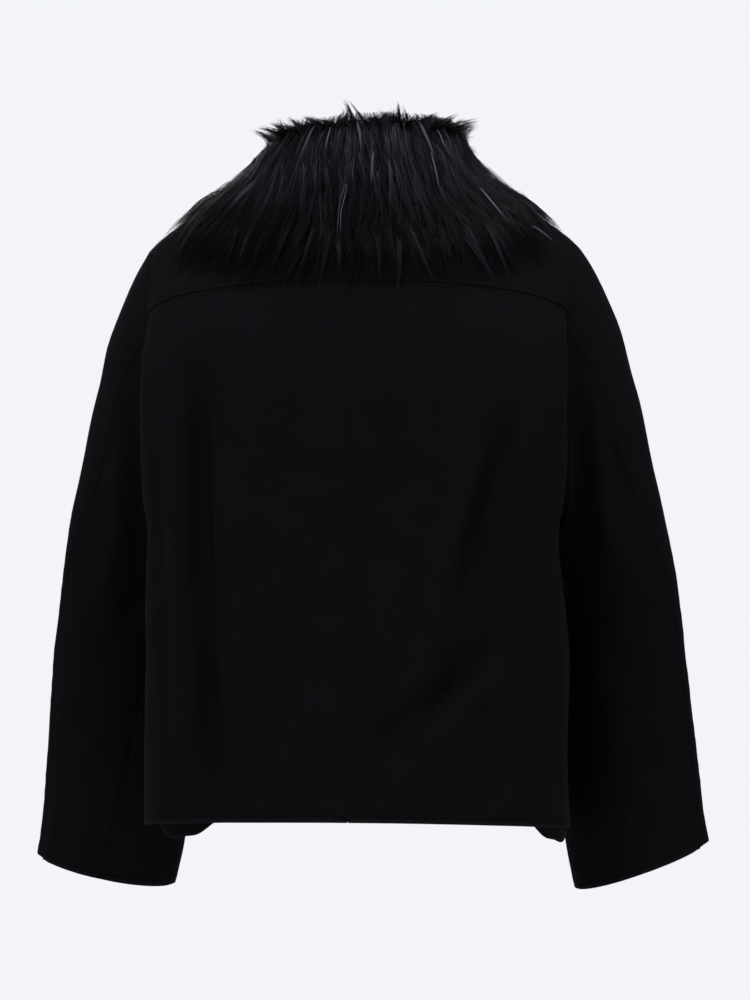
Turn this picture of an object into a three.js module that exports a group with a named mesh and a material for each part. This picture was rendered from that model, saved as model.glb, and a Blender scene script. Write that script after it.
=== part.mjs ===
// Short boxy jacket in black double-faced wool with a long-haired fur collar, hanging in its
// worn shape. Millimetres. +Z up, -Y is the wearer's front, +X the wearer's left.
// The origin is the middle of the neck opening, level with the neck seam at centre back.
import * as THREE from "three";

// Cloth and seams
const CLOTH = 2.4;
const SEAM_GAP = 0.5;
const ARMHOLE_GAP = 1.0;
const FUR_ON_STAND = 0.5;
const FUR_ON_BODY = 3.4;

// Neck opening, shoulder and armhole
const NECK = { halfWidth: 78, backY: 62, frontY: -70, backZ: 0, sideZ: 8, frontZ: -75, frontFlare: 1.6 };
const NECK_SHARE = 0.4;
const SHOULDER_BOW = 12;
const SHOULDER_EASE = 0.25;
const ARMHOLE = {
  topX: 208, bottomX: 200, topZ: -62, bottomZ: -345,
  middleY: -6, backDepth: 64, frontDepth: 68, forwardSlope: 0.06,
};

// The front hem hangs lower beside the side seams, between these shares of the way to the seam
const HEM_SAG = { by: 17, fromFall: 500, from: 0.6, full: 0.74, level: 0.93 };

// Fronts: each passes the centre line by two of its columns, the right one on top
const LAP_COLUMNS = 2;
const LAP = 34;
const LAP_STEP = CLOTH + 0.8;
const LAP_EASE = 60;

// One row for each level of the body. fall is the way down along the cloth, angle the place on the
// armhole in degrees from its top, turn how far the row wraps round towards the side, in degrees.
const BODY_LEVELS = [
  { name: "shoulder", fall: 0, angle: 0 },
  { name: "upper yoke", fall: 32, angle: 25 },
  { name: "lower yoke", fall: 66, angle: 43 },
  { name: "yoke seam", fall: 100, angle: 61 },
  { name: "shoulder blade", fall: 158, angle: 80 },
  { name: "chest", fall: 222, angle: 104 },
  { name: "low armhole", fall: 282, angle: 134 },
  { name: "underarm", fall: 332, angle: 180 },
  { name: "waist", fall: 430, seamX: 201, seamY: 0, seamZ: -450 },
  { name: "hip", fall: 530, seamX: 203, seamY: 8, seamZ: -550 },
  { name: "hem", fall: 618, seamX: 205, seamY: 15, seamZ: -645 },
];
const BACK_ROWS = [
  { z: -35, y: 80, turn: 50, square: 2.0 },
  { z: -70, y: 94, turn: 64, square: 2.1 },
  { z: -104, y: 104, turn: 82, square: 2.4 },
  { z: -165, y: 114, turn: 96, square: 2.8 },
  { z: -235, y: 119, turn: 100, square: 3.2 },
  { z: -300, y: 121, turn: 101, square: 3.4 },
  { z: -352, y: 122, turn: 97, square: 4.4 },
  { z: -450, y: 125, turn: 104, square: 3.4 },
  { z: -550, y: 129, turn: 102, square: 3.3 },
  { z: -634, y: 133, turn: 102, square: 3.2 },
];
const FRONT_ROWS = [
  { z: -103, y: -82, turn: 46, square: 2.0 },
  { z: -134, y: -95, turn: 56, square: 2.0 },
  { z: -168, y: -106, turn: 64, square: 2.0 },
  { z: -214, y: -117, turn: 69, square: 2.0 },
  { z: -264, y: -124, turn: 71, square: 2.0 },
  { z: -312, y: -127, turn: 74, square: 2.0 },
  { z: -354, y: -129, turn: 78, square: 2.4 },
  { z: -450, y: -132, turn: 78, square: 2.4 },
  { z: -550, y: -136, turn: 78, square: 2.3 },
  { z: -640, y: -140, turn: 78, square: 2.2 },
];

// The wearer's left cuff hangs lower by this much at its outer end and the right one higher, and the
// edge of both sags in the middle. Both grow between these two places along the sleeve.
const CUFF_DROP = { by: 9, sag: 9, from: 250, to: 486 };
// One row for each ring of a sleeve, from the armhole down. outer and inner are the two ends of the
// ring, back and front its depth either side of the line between them. hindSeam and underSeam are
// the places of the two sleeve seams round the ring, in degrees from the outer end by the back.
const SLEEVE_RINGS = [
  { name: "armhole", along: 0, hindSeam: 69, underSeam: 180 },
  {
    name: "cap", along: 34, outerX: 243, outerY: -2, outerZ: -118,
    innerX: 207, innerY: -15, innerZ: -357,
    back: 58, front: 66, hindSeam: 67, underSeam: 176,
  },
  {
    name: "bend", along: 78, outerX: 270, outerY: -3, outerZ: -200,
    innerX: 196, innerY: -34, innerZ: -380,
    back: 55, front: 62, hindSeam: 66, underSeam: 168,
  },
  {
    name: "upper arm", along: 142, outerX: 290, outerY: -8, outerZ: -290,
    innerX: 194, innerY: -54, innerZ: -409,
    back: 52, front: 57, hindSeam: 57, underSeam: 155,
  },
  {
    name: "above elbow", along: 216, outerX: 307, outerY: -17, outerZ: -380,
    innerX: 190, innerY: -70, innerZ: -459,
    back: 49, front: 53, hindSeam: 36, underSeam: 135,
  },
  {
    name: "elbow", along: 294, outerX: 319, outerY: -28, outerZ: -470,
    innerX: 187, innerY: -79, innerZ: -522,
    back: 47, front: 50, hindSeam: 28, underSeam: 114,
  },
  {
    name: "forearm", along: 378, outerX: 329, outerY: -39, outerZ: -560,
    innerX: 188, innerY: -82, innerZ: -600,
    back: 44, front: 47, hindSeam: 28, underSeam: 103,
  },
  {
    name: "wrist", along: 448, outerX: 336, outerY: -47, outerZ: -632,
    innerX: 195, innerY: -80, innerZ: -672,
    back: 41, front: 44, hindSeam: 26, underSeam: 95,
  },
  {
    name: "cuff", along: 486, outerX: 341, outerY: -51, outerZ: -670,
    innerX: 205, innerY: -78, innerZ: -711,
    back: 40, front: 43, hindSeam: 26, underSeam: 90,
  },
];

// Largest folds: a line on the cloth from top to bottom, seen from behind or in front, with its
// half width and its rise out of the cloth. A negative rise is a trough. Each fold grows and fades
// over this share of its length, and dies away towards the side edge and the armhole.
const FOLD_FADE = 0.3;
const FOLD_EDGE = 0.12;
const FOLD_START = 20;
const FOLDS = [
  { where: "back", topX: 158, topZ: -150, bottomX: 144, bottomZ: -480, half: 15, rise: -11 },
  { where: "back", topX: 144, topZ: -440, bottomX: 120, bottomZ: -700, half: 16, rise: -9 },
  { where: "back", topX: 193, topZ: -120, bottomX: 184, bottomZ: -720, half: 22, rise: 9 },
  { where: "back", topX: -160, topZ: -250, bottomX: -112, bottomZ: -420, half: 14, rise: -6 },
  { where: "back", topX: -112, topZ: -330, bottomX: -52, bottomZ: -590, half: 15, rise: 6 },
  { where: "back", topX: -140, topZ: -450, bottomX: -30, bottomZ: -610, half: 15, rise: -5 },
  { where: "front", topX: 112, topZ: -240, bottomX: 132, bottomZ: -700, half: 18, rise: -6 },
  { where: "front", topX: -104, topZ: -230, bottomX: -138, bottomZ: -700, half: 20, rise: -7 },
  { where: "front", topX: -70, topZ: -320, bottomX: -84, bottomZ: -700, half: 18, rise: 4 },
  { where: "sleeveBack", topX: -218, topZ: -90, bottomX: -220, bottomZ: -420, half: 8, rise: -6 },
  { where: "sleeveBack", topX: -234, topZ: -80, bottomX: -249, bottomZ: -450, half: 8, rise: 7 },
  { where: "sleeveBack", topX: -254, topZ: -140, bottomX: -262, bottomZ: -380, half: 8, rise: -4 },
  { where: "sleeveBack", topX: 219, topZ: -90, bottomX: 222, bottomZ: -420, half: 8, rise: -5 },
  { where: "sleeveBack", topX: 240, topZ: -110, bottomX: 256, bottomZ: -520, half: 10, rise: 5 },
  { where: "sleeveFront", topX: 226, topZ: -120, bottomX: 238, bottomZ: -470, half: 12, rise: -5 },
  { where: "sleeveFront", topX: -228, topZ: -120, bottomX: -242, bottomZ: -520, half: 12, rise: -5 },
];

// Collar: the stand is a band of cloth, the fur lies over it and over the shoulders.
// Each ends just short of centre front, drawn in over the last share of the neck seam.
const STAND = {
  backHeight: 50, frontHeight: 42, sideDip: 16, spread: 0.04, frontLean: -12, endGap: 1.6, sideLift: 0.1,
};
const STAND_LIFT = 0.7;
const STAND_INSET = 0.3;
const FUR_END_GAP = 3;
// The top of the fur leans to one side: lower by this much at the wearer's left, higher at the right
const FUR_TILT = 6;
const END_SHARE = 0.1;
const WIDEST_FUR = 0.96;
// Where the hair ends on the body: share of the way from centre to side, and the fall down the cloth
const FUR_REACH = [
  { name: "centre back", turn: 0, neck: 0, across: 0, fall: 108 },
  { name: "back", turn: 0.2, neck: 0.42, across: 0.44, fall: 100 },
  { name: "shoulder blade", turn: 0.38, neck: 0.8, across: 0.84, fall: 66 },
  { name: "shoulder", turn: 0.5, neck: 1, across: 0.95, fall: 0 },
  { name: "front shoulder", turn: 0.62, neck: 0.8, across: 0.82, fall: 66 },
  { name: "front", turn: 0.8, neck: 0.42, across: 0.42, fall: 104 },
  { name: "centre front", turn: 1, neck: 0, across: 0, fall: 112 },
];
// Rows of the fur from its lower edge up. out is the way out from the neck seam along the body, up
// the way up the stand, lean the turn of the pile from the body's normal to the stand's, lift adds
// height above the stand, and lock is how far each lock stands out of the gap beside it.
const FUR_ROWS = [
  { out: 1.0, up: 0, pile: 2.5, lean: 0, lift: 0, lock: 0.5, ragged: 1 },
  { out: 0.86, up: 0, pile: 7, lean: 0, lift: 0, lock: 4, ragged: 0.6 },
  { out: 0.7, up: 0, pile: 12, lean: 0, lift: 0, lock: 3, ragged: 0.2 },
  { out: 0.54, up: 0, pile: 11, lean: 0, lift: 0, lock: -3, ragged: 0 },
  { out: 0.38, up: 0, pile: 17, lean: 0.04, lift: 0, lock: -3, ragged: 0 },
  { out: 0.22, up: 0, pile: 21, lean: 0.16, lift: 0, lock: 3, ragged: 0 },
  { out: 0.06, up: 0, pile: 33, lean: 0.42, lift: 0, lock: 3, ragged: 0 },
  { out: 0, up: 0.35, pile: 29, lean: 0.7, lift: 0, lock: -3, ragged: 0 },
  { out: 0, up: 0.75, pile: 22, lean: 1, lift: 2, lock: -2, ragged: 0 },
  { out: 0, up: 0.92, pile: 15, lean: 1, lift: 12, lock: 2.5, ragged: 0 },
  { out: 0, up: 1, pile: 4, lean: 1, lift: 12, lock: 1.5, ragged: 0 },
];
const LOCKS_A_SIDE = 26;
const RAGGED_REACH = 0.15;
const LOCK_EVENNESS = 0.7;
const LEAST_FUR = 1.5;

// How finely the cloth is divided
const STEPS = { neck: 8, shoulder: 7, yoke: 5, armholeBelowYoke: 7, side: 8, sleeveDown: 17, standUp: 3 };
const RING_CROWDING = 1.1;

const V = (x, y, z) => new THREE.Vector3(x, y, z);
const radians = THREE.MathUtils.degToRad;
const mix = THREE.MathUtils.lerp;
const smooth = THREE.MathUtils.smoothstep;

// A smooth value or vector through table rows, at any place between them
function throughRows(places, values, at) {
  const last = places.length - 1;
  const place = THREE.MathUtils.clamp(at, places[0], places[last]);
  let k = 0;
  while (k < last - 1 && place > places[k + 1]) k += 1;
  const slope = (a, b) => values[b].clone().sub(values[a]).divideScalar(places[b] - places[a]);
  const span = places[k + 1] - places[k];
  const here = slope(k, k + 1);
  const before = k > 0 ? slope(k - 1, k + 1) : here;
  const after = k < last - 1 ? slope(k, k + 2) : here;
  const s = (place - places[k]) / span;
  return values[k].clone().multiplyScalar((1 + 2 * s) * (1 - s) ** 2)
    .addScaledVector(before, span * s * (1 - s) ** 2)
    .addScaledVector(values[k + 1], s * s * (3 - 2 * s))
    .addScaledVector(after, span * s * s * (s - 1));
}

const columnThrough = (rows, place, value, at) =>
  throughRows(rows.map((row) => row[place]), rows.map((row) => V(row[value], 0, 0)), at).x;

const shares = (count) => Array.from({ length: count + 1 }, (_, k) => k / count);
const fallOf = (name) => BODY_LEVELS.find((level) => level.name === name).fall;
const between = (from, to, count) => shares(count).map((share) => mix(from, to, share));

// Places of the columns and rows that every panel of the body and the sleeves share
const NECK_COLUMNS = between(0, NECK_SHARE, STEPS.neck);
const COLUMNS = [...NECK_COLUMNS, ...between(NECK_SHARE, 1, STEPS.shoulder).slice(1)];
const LAP_PLACES = NECK_COLUMNS.slice(1, 1 + LAP_COLUMNS).reverse().map((across) => -across);
const FRONT_COLUMNS = [...LAP_PLACES, ...COLUMNS];
const YOKE_FALLS = between(0, fallOf("yoke seam"), STEPS.yoke);
const ARMHOLE_FALLS = between(fallOf("yoke seam"), fallOf("underarm"), STEPS.armholeBelowYoke);
const SIDE_FALLS = between(fallOf("underarm"), fallOf("hem"), STEPS.side);
const BACK_FALLS = [...ARMHOLE_FALLS, ...SIDE_FALLS.slice(1)];
const FRONT_FALLS = [...YOKE_FALLS, ...BACK_FALLS.slice(1)];

// Armhole seam, with its angle from the top of the shoulder round by the back
function armholePoint(angle) {
  const turned = radians(angle);
  const depth = Math.sin(turned) > 0 ? ARMHOLE.backDepth : ARMHOLE.frontDepth;
  const y = ARMHOLE.middleY * (1 - Math.cos(turned)) / 2 + depth * Math.sin(turned);
  const lowered = (1 - Math.cos(turned)) / 2;
  return V(
    mix(ARMHOLE.topX, ARMHOLE.bottomX, lowered) + ARMHOLE.forwardSlope * y,
    y,
    mix(ARMHOLE.topZ, ARMHOLE.bottomZ, lowered),
  );
}

// Neck seam from centre back or centre front (share 0) to the side of the neck (share 1)
function neckPoint(side, share) {
  const turned = share * Math.PI / 2;
  const x = NECK.halfWidth * Math.sin(turned);
  if (side === "back")
    return V(x, NECK.backY * Math.cos(turned), mix(NECK.backZ, NECK.sideZ, Math.sin(turned) ** 2));
  const rise = Math.sign(turned) * Math.abs(Math.sin(turned)) ** NECK.frontFlare;
  return V(x, NECK.frontY * Math.cos(turned), mix(NECK.frontZ, NECK.sideZ, Math.abs(rise)));
}

function shoulderPoint(share) {
  const neck = neckPoint("back", 1);
  const tip = armholePoint(0);
  const point = neck.lerp(tip, share);
  point.z += SHOULDER_BOW * Math.sin(Math.PI * share);
  return point;
}

const UNDERARM = BODY_LEVELS.findIndex((level) => level.name === "underarm");

function armholeAngle(side, fall) {
  const angle = columnThrough(BODY_LEVELS.slice(0, UNDERARM + 1), "fall", "angle", fall);
  return side === "back" ? angle : 360 - angle;
}

// Side edge of a body panel: the armhole down to the underarm, then the side seam
function edgePoint(side, fall) {
  if (fall <= BODY_LEVELS[UNDERARM].fall) return armholePoint(armholeAngle(side, fall));
  const seamLevels = BODY_LEVELS.slice(UNDERARM);
  const points = seamLevels.map((level) =>
    level.seamX === undefined ? armholePoint(180) : V(level.seamX, level.seamY, level.seamZ));
  return throughRows(seamLevels.map((level) => level.fall), points, fall);
}

// A level row of the body: across is 0 at the centre and 1 at the side edge
function rowPoint(side, level, across) {
  if (level === 0) {
    if (Math.abs(across) <= NECK_SHARE) return neckPoint(side, across / NECK_SHARE);
    return shoulderPoint((across - NECK_SHARE) / (1 - NECK_SHARE));
  }
  const row = (side === "back" ? BACK_ROWS : FRONT_ROWS)[level - 1];
  const edge = edgePoint(side, BODY_LEVELS[level].fall);
  const bulge = (angle) =>
    Math.sign(Math.cos(angle)) * (1 - Math.abs(Math.sin(angle)) ** row.square) ** (1 / row.square);
  const turn = radians(row.turn);
  const outward = Math.sin(across * turn) / Math.sin(turn);
  const depth = (bulge(across * turn) - bulge(turn)) / (1 - bulge(turn));
  return V(edge.x * outward, mix(edge.y, row.y, depth), mix(row.z, edge.z, across * across));
}

// Body cloth before its folds, on the wearer's left; across below 0 passes the centre line
function bodyShape(side, across, fall) {
  const falls = BODY_LEVELS.map((level) => level.fall);
  const rows = falls.map((_, level) => rowPoint(side, level, across));
  const edges = falls.map((_, level) => rowPoint(side, level, 1));
  const point = throughRows(falls, rows, fall);
  const onSeam = edgePoint(side, fall).sub(throughRows(falls, edges, fall));
  point.addScaledVector(onSeam, Math.max(across, 0) ** 4);
  const upper = BODY_LEVELS[1].fall;
  if (fall < upper && across > NECK_SHARE) {
    // Over the shoulder the back and the front pass into each other without a ridge
    const other = rowPoint(side === "back" ? "front" : "back", 1, across);
    const plain = rows[1].clone().sub(rows[0]);
    const shared = rows[1].clone().sub(other).multiplyScalar(0.5);
    const turnOver = plain.clone().lerp(shared, smooth(across, NECK_SHARE, NECK_SHARE + SHOULDER_EASE));
    const s = fall / upper;
    point.addScaledVector(turnOver.sub(plain), s * (1 - s) ** 2);
  }
  return point;
}

function foldRise(where, x, z) {
  let rise = 0;
  for (const fold of FOLDS.filter((row) => row.where === where)) {
    const share = (fold.topZ - z) / (fold.topZ - fold.bottomZ);
    const middle = mix(fold.topX, fold.bottomX, share);
    const fade = smooth(share, 0, FOLD_FADE) * (1 - smooth(share, 1 - FOLD_FADE, 1));
    const offset = (x - middle) / fold.half;
    rise += fold.rise * fade * Math.exp(-offset * offset);
  }
  return rise;
}

// Steps for slopes: a share of the way across, a length along the cloth, an angle in degrees
const STEP = { share: 0.001, length: 0.1, angle: 0.1 };
// Outward normal of a surface given as a function of two places on it
function normalOf(surface, u, v, uStep, vStep, outwardSign) {
  const du = surface(u + uStep, v).sub(surface(u - uStep, v));
  const dv = surface(u, v + vStep).sub(surface(u, v - vStep));
  return du.cross(dv).multiplyScalar(outwardSign).normalize();
}

function bodyNormal(side, across, fall) {
  const shape = (a, f) => bodyShape(side, a, f);
  const insideAcross = Math.min(across, 1 - 2 * STEP.share);
  const insideFall = THREE.MathUtils.clamp(fall, 10 * STEP.length, fallOf("hem") - 10 * STEP.length);
  return normalOf(shape, insideAcross, insideFall, STEP.share, STEP.length, side === "back" ? 1 : -1);
}

function sleeveNormal(along, angle) {
  const lastAlong = SLEEVE_RINGS.at(-1).along;
  const insideAlong = THREE.MathUtils.clamp(along, 5 * STEP.length, lastAlong - 5 * STEP.length);
  return normalOf(sleeveShape, insideAlong, angle, STEP.length, STEP.angle, 1);
}

// Where panels meet, their walls lean the same way: the mean of the normals of all that meet there
function seamNormal(side, across, fall) {
  const other = side === "back" ? "front" : "back";
  const normal = bodyNormal(side, across, fall);
  const onArmhole = across === 1 && fall <= fallOf("underarm");
  const onShoulder = across >= NECK_SHARE && fall === 0;
  const onSide = across === 1 && fall >= fallOf("underarm");
  if (onArmhole) normal.add(sleeveNormal(0, armholeAngle(side, fall)));
  if (onShoulder || onSide) normal.add(bodyNormal(other, across, fall));
  return normal.normalize();
}

// Body cloth with folds, for hand +1 (wearer's left) or -1 (wearer's right)
function bodyCloth(side, hand) {
  return (across, fall) => {
    const point = bodyShape(side, across, fall);
    const normal = seamNormal(side, across, fall);
    const nearEdge = smooth(1 - across, 0, FOLD_EDGE);
    let rise = foldRise(side, hand * point.x, point.z) * nearEdge;
    if (side === "front" && hand < 0) rise += lapRise(point.x);
    point.addScaledVector(normal, rise);
    if (side === "front") point.z -= hemSag(across, fall);
    point.x *= hand;
    normal.x *= hand;
    return { point, normal };
  };
}

function hemSag(across, fall) {
  const beside = smooth(across, HEM_SAG.from, HEM_SAG.full) * (1 - smooth(across, HEM_SAG.level, 1));
  return HEM_SAG.by * beside * smooth(fall, HEM_SAG.fromFall, fallOf("hem"));
}

const lapRise = (x) => LAP_STEP * (1 - smooth(x, LAP, LAP + LAP_EASE));

// Sleeve cloth before its folds, on the wearer's left; angle is in degrees round the ring
function sleeveShape(along, angle) {
  const turned = radians(angle);
  const rings = SLEEVE_RINGS.map((ring) => {
    if (ring.outerX === undefined) return armholePoint(angle).add(V(ARMHOLE_GAP, 0, 0));
    const outer = V(ring.outerX, ring.outerY, ring.outerZ);
    const inner = V(ring.innerX, ring.innerY, ring.innerZ);
    const depth = Math.sin(turned) > 0 ? ring.back : ring.front;
    return outer.lerp(inner, (1 - Math.cos(turned)) / 2).add(V(0, depth * Math.sin(turned), 0));
  });
  return throughRows(SLEEVE_RINGS.map((ring) => ring.along), rings, along);
}

// Columns of a sleeve start where the rows of the body end, from the shoulder round by the back
const ARM_FALLS = [...YOKE_FALLS, ...ARMHOLE_FALLS.slice(1)];
const SLEEVE_COLUMNS = [
  ...ARM_FALLS.map((fall) => ({ side: "back", fall })),
  ...ARM_FALLS.slice(0, -1).reverse().map((fall) => ({ side: "front", fall })),
];
const HIND_COLUMN = STEPS.yoke + 1;
const UNDER_COLUMN = STEPS.yoke + STEPS.armholeBelowYoke;
const ROUND_COLUMNS = SLEEVE_COLUMNS.length - 1;
const SEAM_EASE = 60;

// Place of a sleeve column round its ring; columns past the last one start the next turn
function columnAngle(column, along) {
  const start = SLEEVE_COLUMNS[column % ROUND_COLUMNS];
  const atArmhole = armholeAngle(start.side, start.fall) + 360 * Math.floor(column / ROUND_COLUMNS);
  const hind = columnThrough(SLEEVE_RINGS, "along", "hindSeam", along);
  const under = columnThrough(SLEEVE_RINGS, "along", "underSeam", along);
  const lastColumn = HIND_COLUMN + ROUND_COLUMNS;
  const shared = column <= UNDER_COLUMN
    ? mix(hind, under, (column - HIND_COLUMN) / (UNDER_COLUMN - HIND_COLUMN))
    : mix(under, hind + 360, (column - UNDER_COLUMN) / (lastColumn - UNDER_COLUMN));
  return mix(atArmhole, shared, smooth(along, 0, SEAM_EASE));
}

function sleeveCloth(hand) {
  return (along, column) => {
    const angle = columnAngle(column, along);
    const start = SLEEVE_COLUMNS[column % ROUND_COLUMNS];
    const point = sleeveShape(along, angle);
    const normal = along === 0 ? seamNormal(start.side, 1, start.fall) : sleeveNormal(along, angle);
    const facing = Math.sin(radians(angle));
    const where = facing > 0 ? "sleeveBack" : "sleeveFront";
    const shown = Math.abs(facing) * smooth(along, 0, FOLD_START);
    point.addScaledVector(normal, foldRise(where, hand * point.x, point.z) * shown);
    const outerShare = (1 + Math.cos(radians(angle))) / 2;
    const drop = hand * CUFF_DROP.by * outerShare + CUFF_DROP.sag * Math.abs(facing);
    point.z -= drop * smooth(along, CUFF_DROP.from, CUFF_DROP.to);
    point.x *= hand;
    normal.x *= hand;
    return { point, normal };
  };
}

// A closed solid from a grid of outer points and the grid behind it
function solidBetween(outer, inner) {
  const rows = outer.length;
  const columns = outer[0].length;
  const positions = [...outer.flat(), ...inner.flat()].flatMap((point) => point.toArray());
  const front = (r, c) => r * columns + c;
  const behind = (r, c) => rows * columns + front(r, c);
  const faces = [];
  const quad = (a, b, c, d) => faces.push(a, b, c, a, c, d);
  for (let r = 0; r < rows - 1; r += 1)
    for (let c = 0; c < columns - 1; c += 1) {
      quad(front(r, c), front(r, c + 1), front(r + 1, c + 1), front(r + 1, c));
      quad(behind(r, c), behind(r + 1, c), behind(r + 1, c + 1), behind(r, c + 1));
    }
  for (let c = 0; c < columns - 1; c += 1) {
    quad(front(0, c + 1), front(0, c), behind(0, c), behind(0, c + 1));
    quad(front(rows - 1, c + 1), behind(rows - 1, c + 1), behind(rows - 1, c), front(rows - 1, c));
  }
  for (let r = 0; r < rows - 1; r += 1) {
    quad(front(r, 0), front(r + 1, 0), behind(r + 1, 0), behind(r, 0));
    const end = columns - 1;
    quad(front(r, end), behind(r, end), behind(r + 1, end), front(r + 1, end));
  }
  const geometry = new THREE.BufferGeometry();
  geometry.setAttribute("position", new THREE.Float32BufferAttribute(positions, 3));
  geometry.setIndex(faces);
  if (volumeOf(geometry) < 0) {
    for (let k = 0; k < faces.length; k += 3) [faces[k + 1], faces[k + 2]] = [faces[k + 2], faces[k + 1]];
    geometry.setIndex(faces);
  }
  geometry.computeVertexNormals();
  return geometry;
}

function volumeOf(geometry) {
  const place = geometry.getAttribute("position");
  const index = geometry.index.array;
  const corner = (k) => V(0, 0, 0).fromBufferAttribute(place, index[k]);
  let six = 0;
  for (let k = 0; k < index.length; k += 3) six += corner(k).dot(corner(k + 1).cross(corner(k + 2)));
  return six / 6;
}

// A wall of cloth from a grid of places on a surface. Its edges are drawn in by half a seam gap.
function clothWall(grid) {
  const outer = grid.map((row) => row.map((place) => place.point.clone()));
  const rows = outer.length;
  const columns = outer[0].length;
  const drawIn = (edge, next) => edge.add(next.clone().sub(edge).setLength(SEAM_GAP / 2));
  for (let r = 0; r < rows; r += 1) {
    drawIn(outer[r][0], outer[r][1]);
    drawIn(outer[r][columns - 1], outer[r][columns - 2]);
  }
  for (let c = 0; c < columns; c += 1) {
    drawIn(outer[0][c], outer[1][c]);
    drawIn(outer[rows - 1][c], outer[rows - 2][c]);
  }
  const inner = outer.map((row, r) =>
    row.map((point, c) => point.clone().addScaledVector(grid[r][c].normal, -CLOTH)));
  return solidBetween(outer, inner);
}

const columnsOf = { back: COLUMNS, front: FRONT_COLUMNS };
const fallsOf = { back: BACK_FALLS, front: FRONT_FALLS };

function bodyPanel(side, hand) {
  const cloth = bodyCloth(side, hand);
  return clothWall(fallsOf[side].map((fall) => columnsOf[side].map((across) => cloth(across, fall))));
}

function yokePanel() {
  const left = bodyCloth("back", 1);
  const right = bodyCloth("back", -1);
  return clothWall(YOKE_FALLS.map((fall) => [
    ...COLUMNS.slice(1).reverse().map((across) => right(across, fall)),
    ...COLUMNS.map((across) => left(across, fall)),
  ]));
}

function sleevePanel(hand, fromColumn, toColumn) {
  const cloth = sleeveCloth(hand);
  const lastAlong = SLEEVE_RINGS.at(-1).along;
  const columns = between(fromColumn, toColumn, toColumn - fromColumn);
  return clothWall(shares(STEPS.sleeveDown).map((share) =>
    columns.map((column) => cloth(share ** RING_CROWDING * lastAlong, Math.round(column)))));
}

// Neck seam all the way from centre back (0) to centre front (1)
const neckRing = (turn) => (turn <= 0.5 ? neckPoint("back", turn * 2) : neckPoint("front", (1 - turn) * 2));

function standPoint(turn, up, out, lift, hand, endGap) {
  const base = neckRing(turn);
  const ahead = neckRing(Math.min(turn + STEP.share, 1));
  const behind = neckRing(Math.max(turn - STEP.share, 0));
  const run = ahead.sub(behind);
  const normal = V(-run.y, run.x, 0).normalize();
  if (turn === 0) normal.set(0, 1, 0);
  if (turn === 1) normal.set(0, -1, 0);
  const toFront = smooth(turn, 0.5, 1);
  const sideways = Math.sin(Math.PI * turn) ** 2;
  const height = mix(STAND.backHeight, STAND.frontHeight, toFront) - STAND.sideDip * sideways;
  const point = base.clone();
  point.x *= 1 + STAND.spread * up;
  point.y += STAND.frontLean * up * toFront;
  point.z += height * up + lift * mix(1, STAND.sideLift, sideways);
  point.addScaledVector(normal, out);
  point.x = Math.max(point.x, endGap * smooth(turn, 1 - END_SHARE, 1));
  point.x *= hand;
  normal.x *= hand;
  return { point, normal };
}

function standWall() {
  const turns = shares(STEPS.neck * 2);
  const half = (places, up, out, hand) =>
    places.map((turn) => standPoint(turn, up, out, STAND_LIFT * (1 - up), hand, STAND.endGap).point);
  const ring = (up, out) => [...half(turns.slice(1).reverse(), up, out, -1), ...half(turns, up, out, 1)];
  const ups = shares(STEPS.standUp);
  return solidBetween(
    ups.map((up) => ring(up, -STAND_INSET)),
    ups.map((up) => ring(up, -STAND_INSET - CLOTH)),
  );
}

// The cloth as its flat facets lie, so that what rests on it clears them
function facets(side, hand) {
  const cloth = bodyCloth(side, hand);
  const made = new Map();
  const corner = (column, row) => {
    const key = `${column} ${row}`;
    if (!made.has(key)) made.set(key, cloth(FRONT_COLUMNS[column], FRONT_FALLS[row]));
    return made.get(key);
  };
  const cellOf = (list, at) =>
    Math.max(list.findLastIndex((place, k) => at >= place && k < list.length - 1), 0);
  return (across, fall) => {
    const c = cellOf(FRONT_COLUMNS, across);
    const r = cellOf(FRONT_FALLS, fall);
    const v = (fall - FRONT_FALLS[r]) / (FRONT_FALLS[r + 1] - FRONT_FALLS[r]);
    let u = (across - FRONT_COLUMNS[c]) / (FRONT_COLUMNS[c + 1] - FRONT_COLUMNS[c]);
    let corners = [corner(c, r), corner(c + 1, r), corner(c + 1, r + 1), corner(c, r + 1)];
    // The right half of the yoke runs from the side to the centre, so its facets are split the other way
    if (side === "back" && hand < 0 && fall < fallOf("yoke seam")) {
      corners = [corners[1], corners[0], corners[3], corners[2]];
      u = 1 - u;
    }
    const weights = u > v ? [1 - u, u - v, v, 0] : [1 - v, 0, u, v - u];
    const blend = (name) =>
      corners.reduce((sum, one, k) => sum.addScaledVector(one[name], weights[k]), V(0, 0, 0));
    return { point: blend("point"), normal: blend("normal").normalize() };
  };
}

// Place on the body under the fur, out from the neck seam by a share of the fur's reach
function underFur(turn, out) {
  const side = turn <= 0.5 ? "back" : "front";
  const column = (name) => columnThrough(FUR_REACH, "turn", name, turn);
  const neck = side === "back" ? turn * 2 : (1 - turn) * 2;
  const across = mix(neck * NECK_SHARE, Math.min(column("across"), WIDEST_FUR), out);
  const fall = Math.max(column("fall"), 0) * out;
  return { side, across, fall };
}

// A steady but uneven value from 0 to 1 for each whole number
const UNEVEN_STEP = 0.61803;
const unevenness = (k) => {
  const step = k * k * UNEVEN_STEP;
  return step - Math.floor(step);
};

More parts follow.
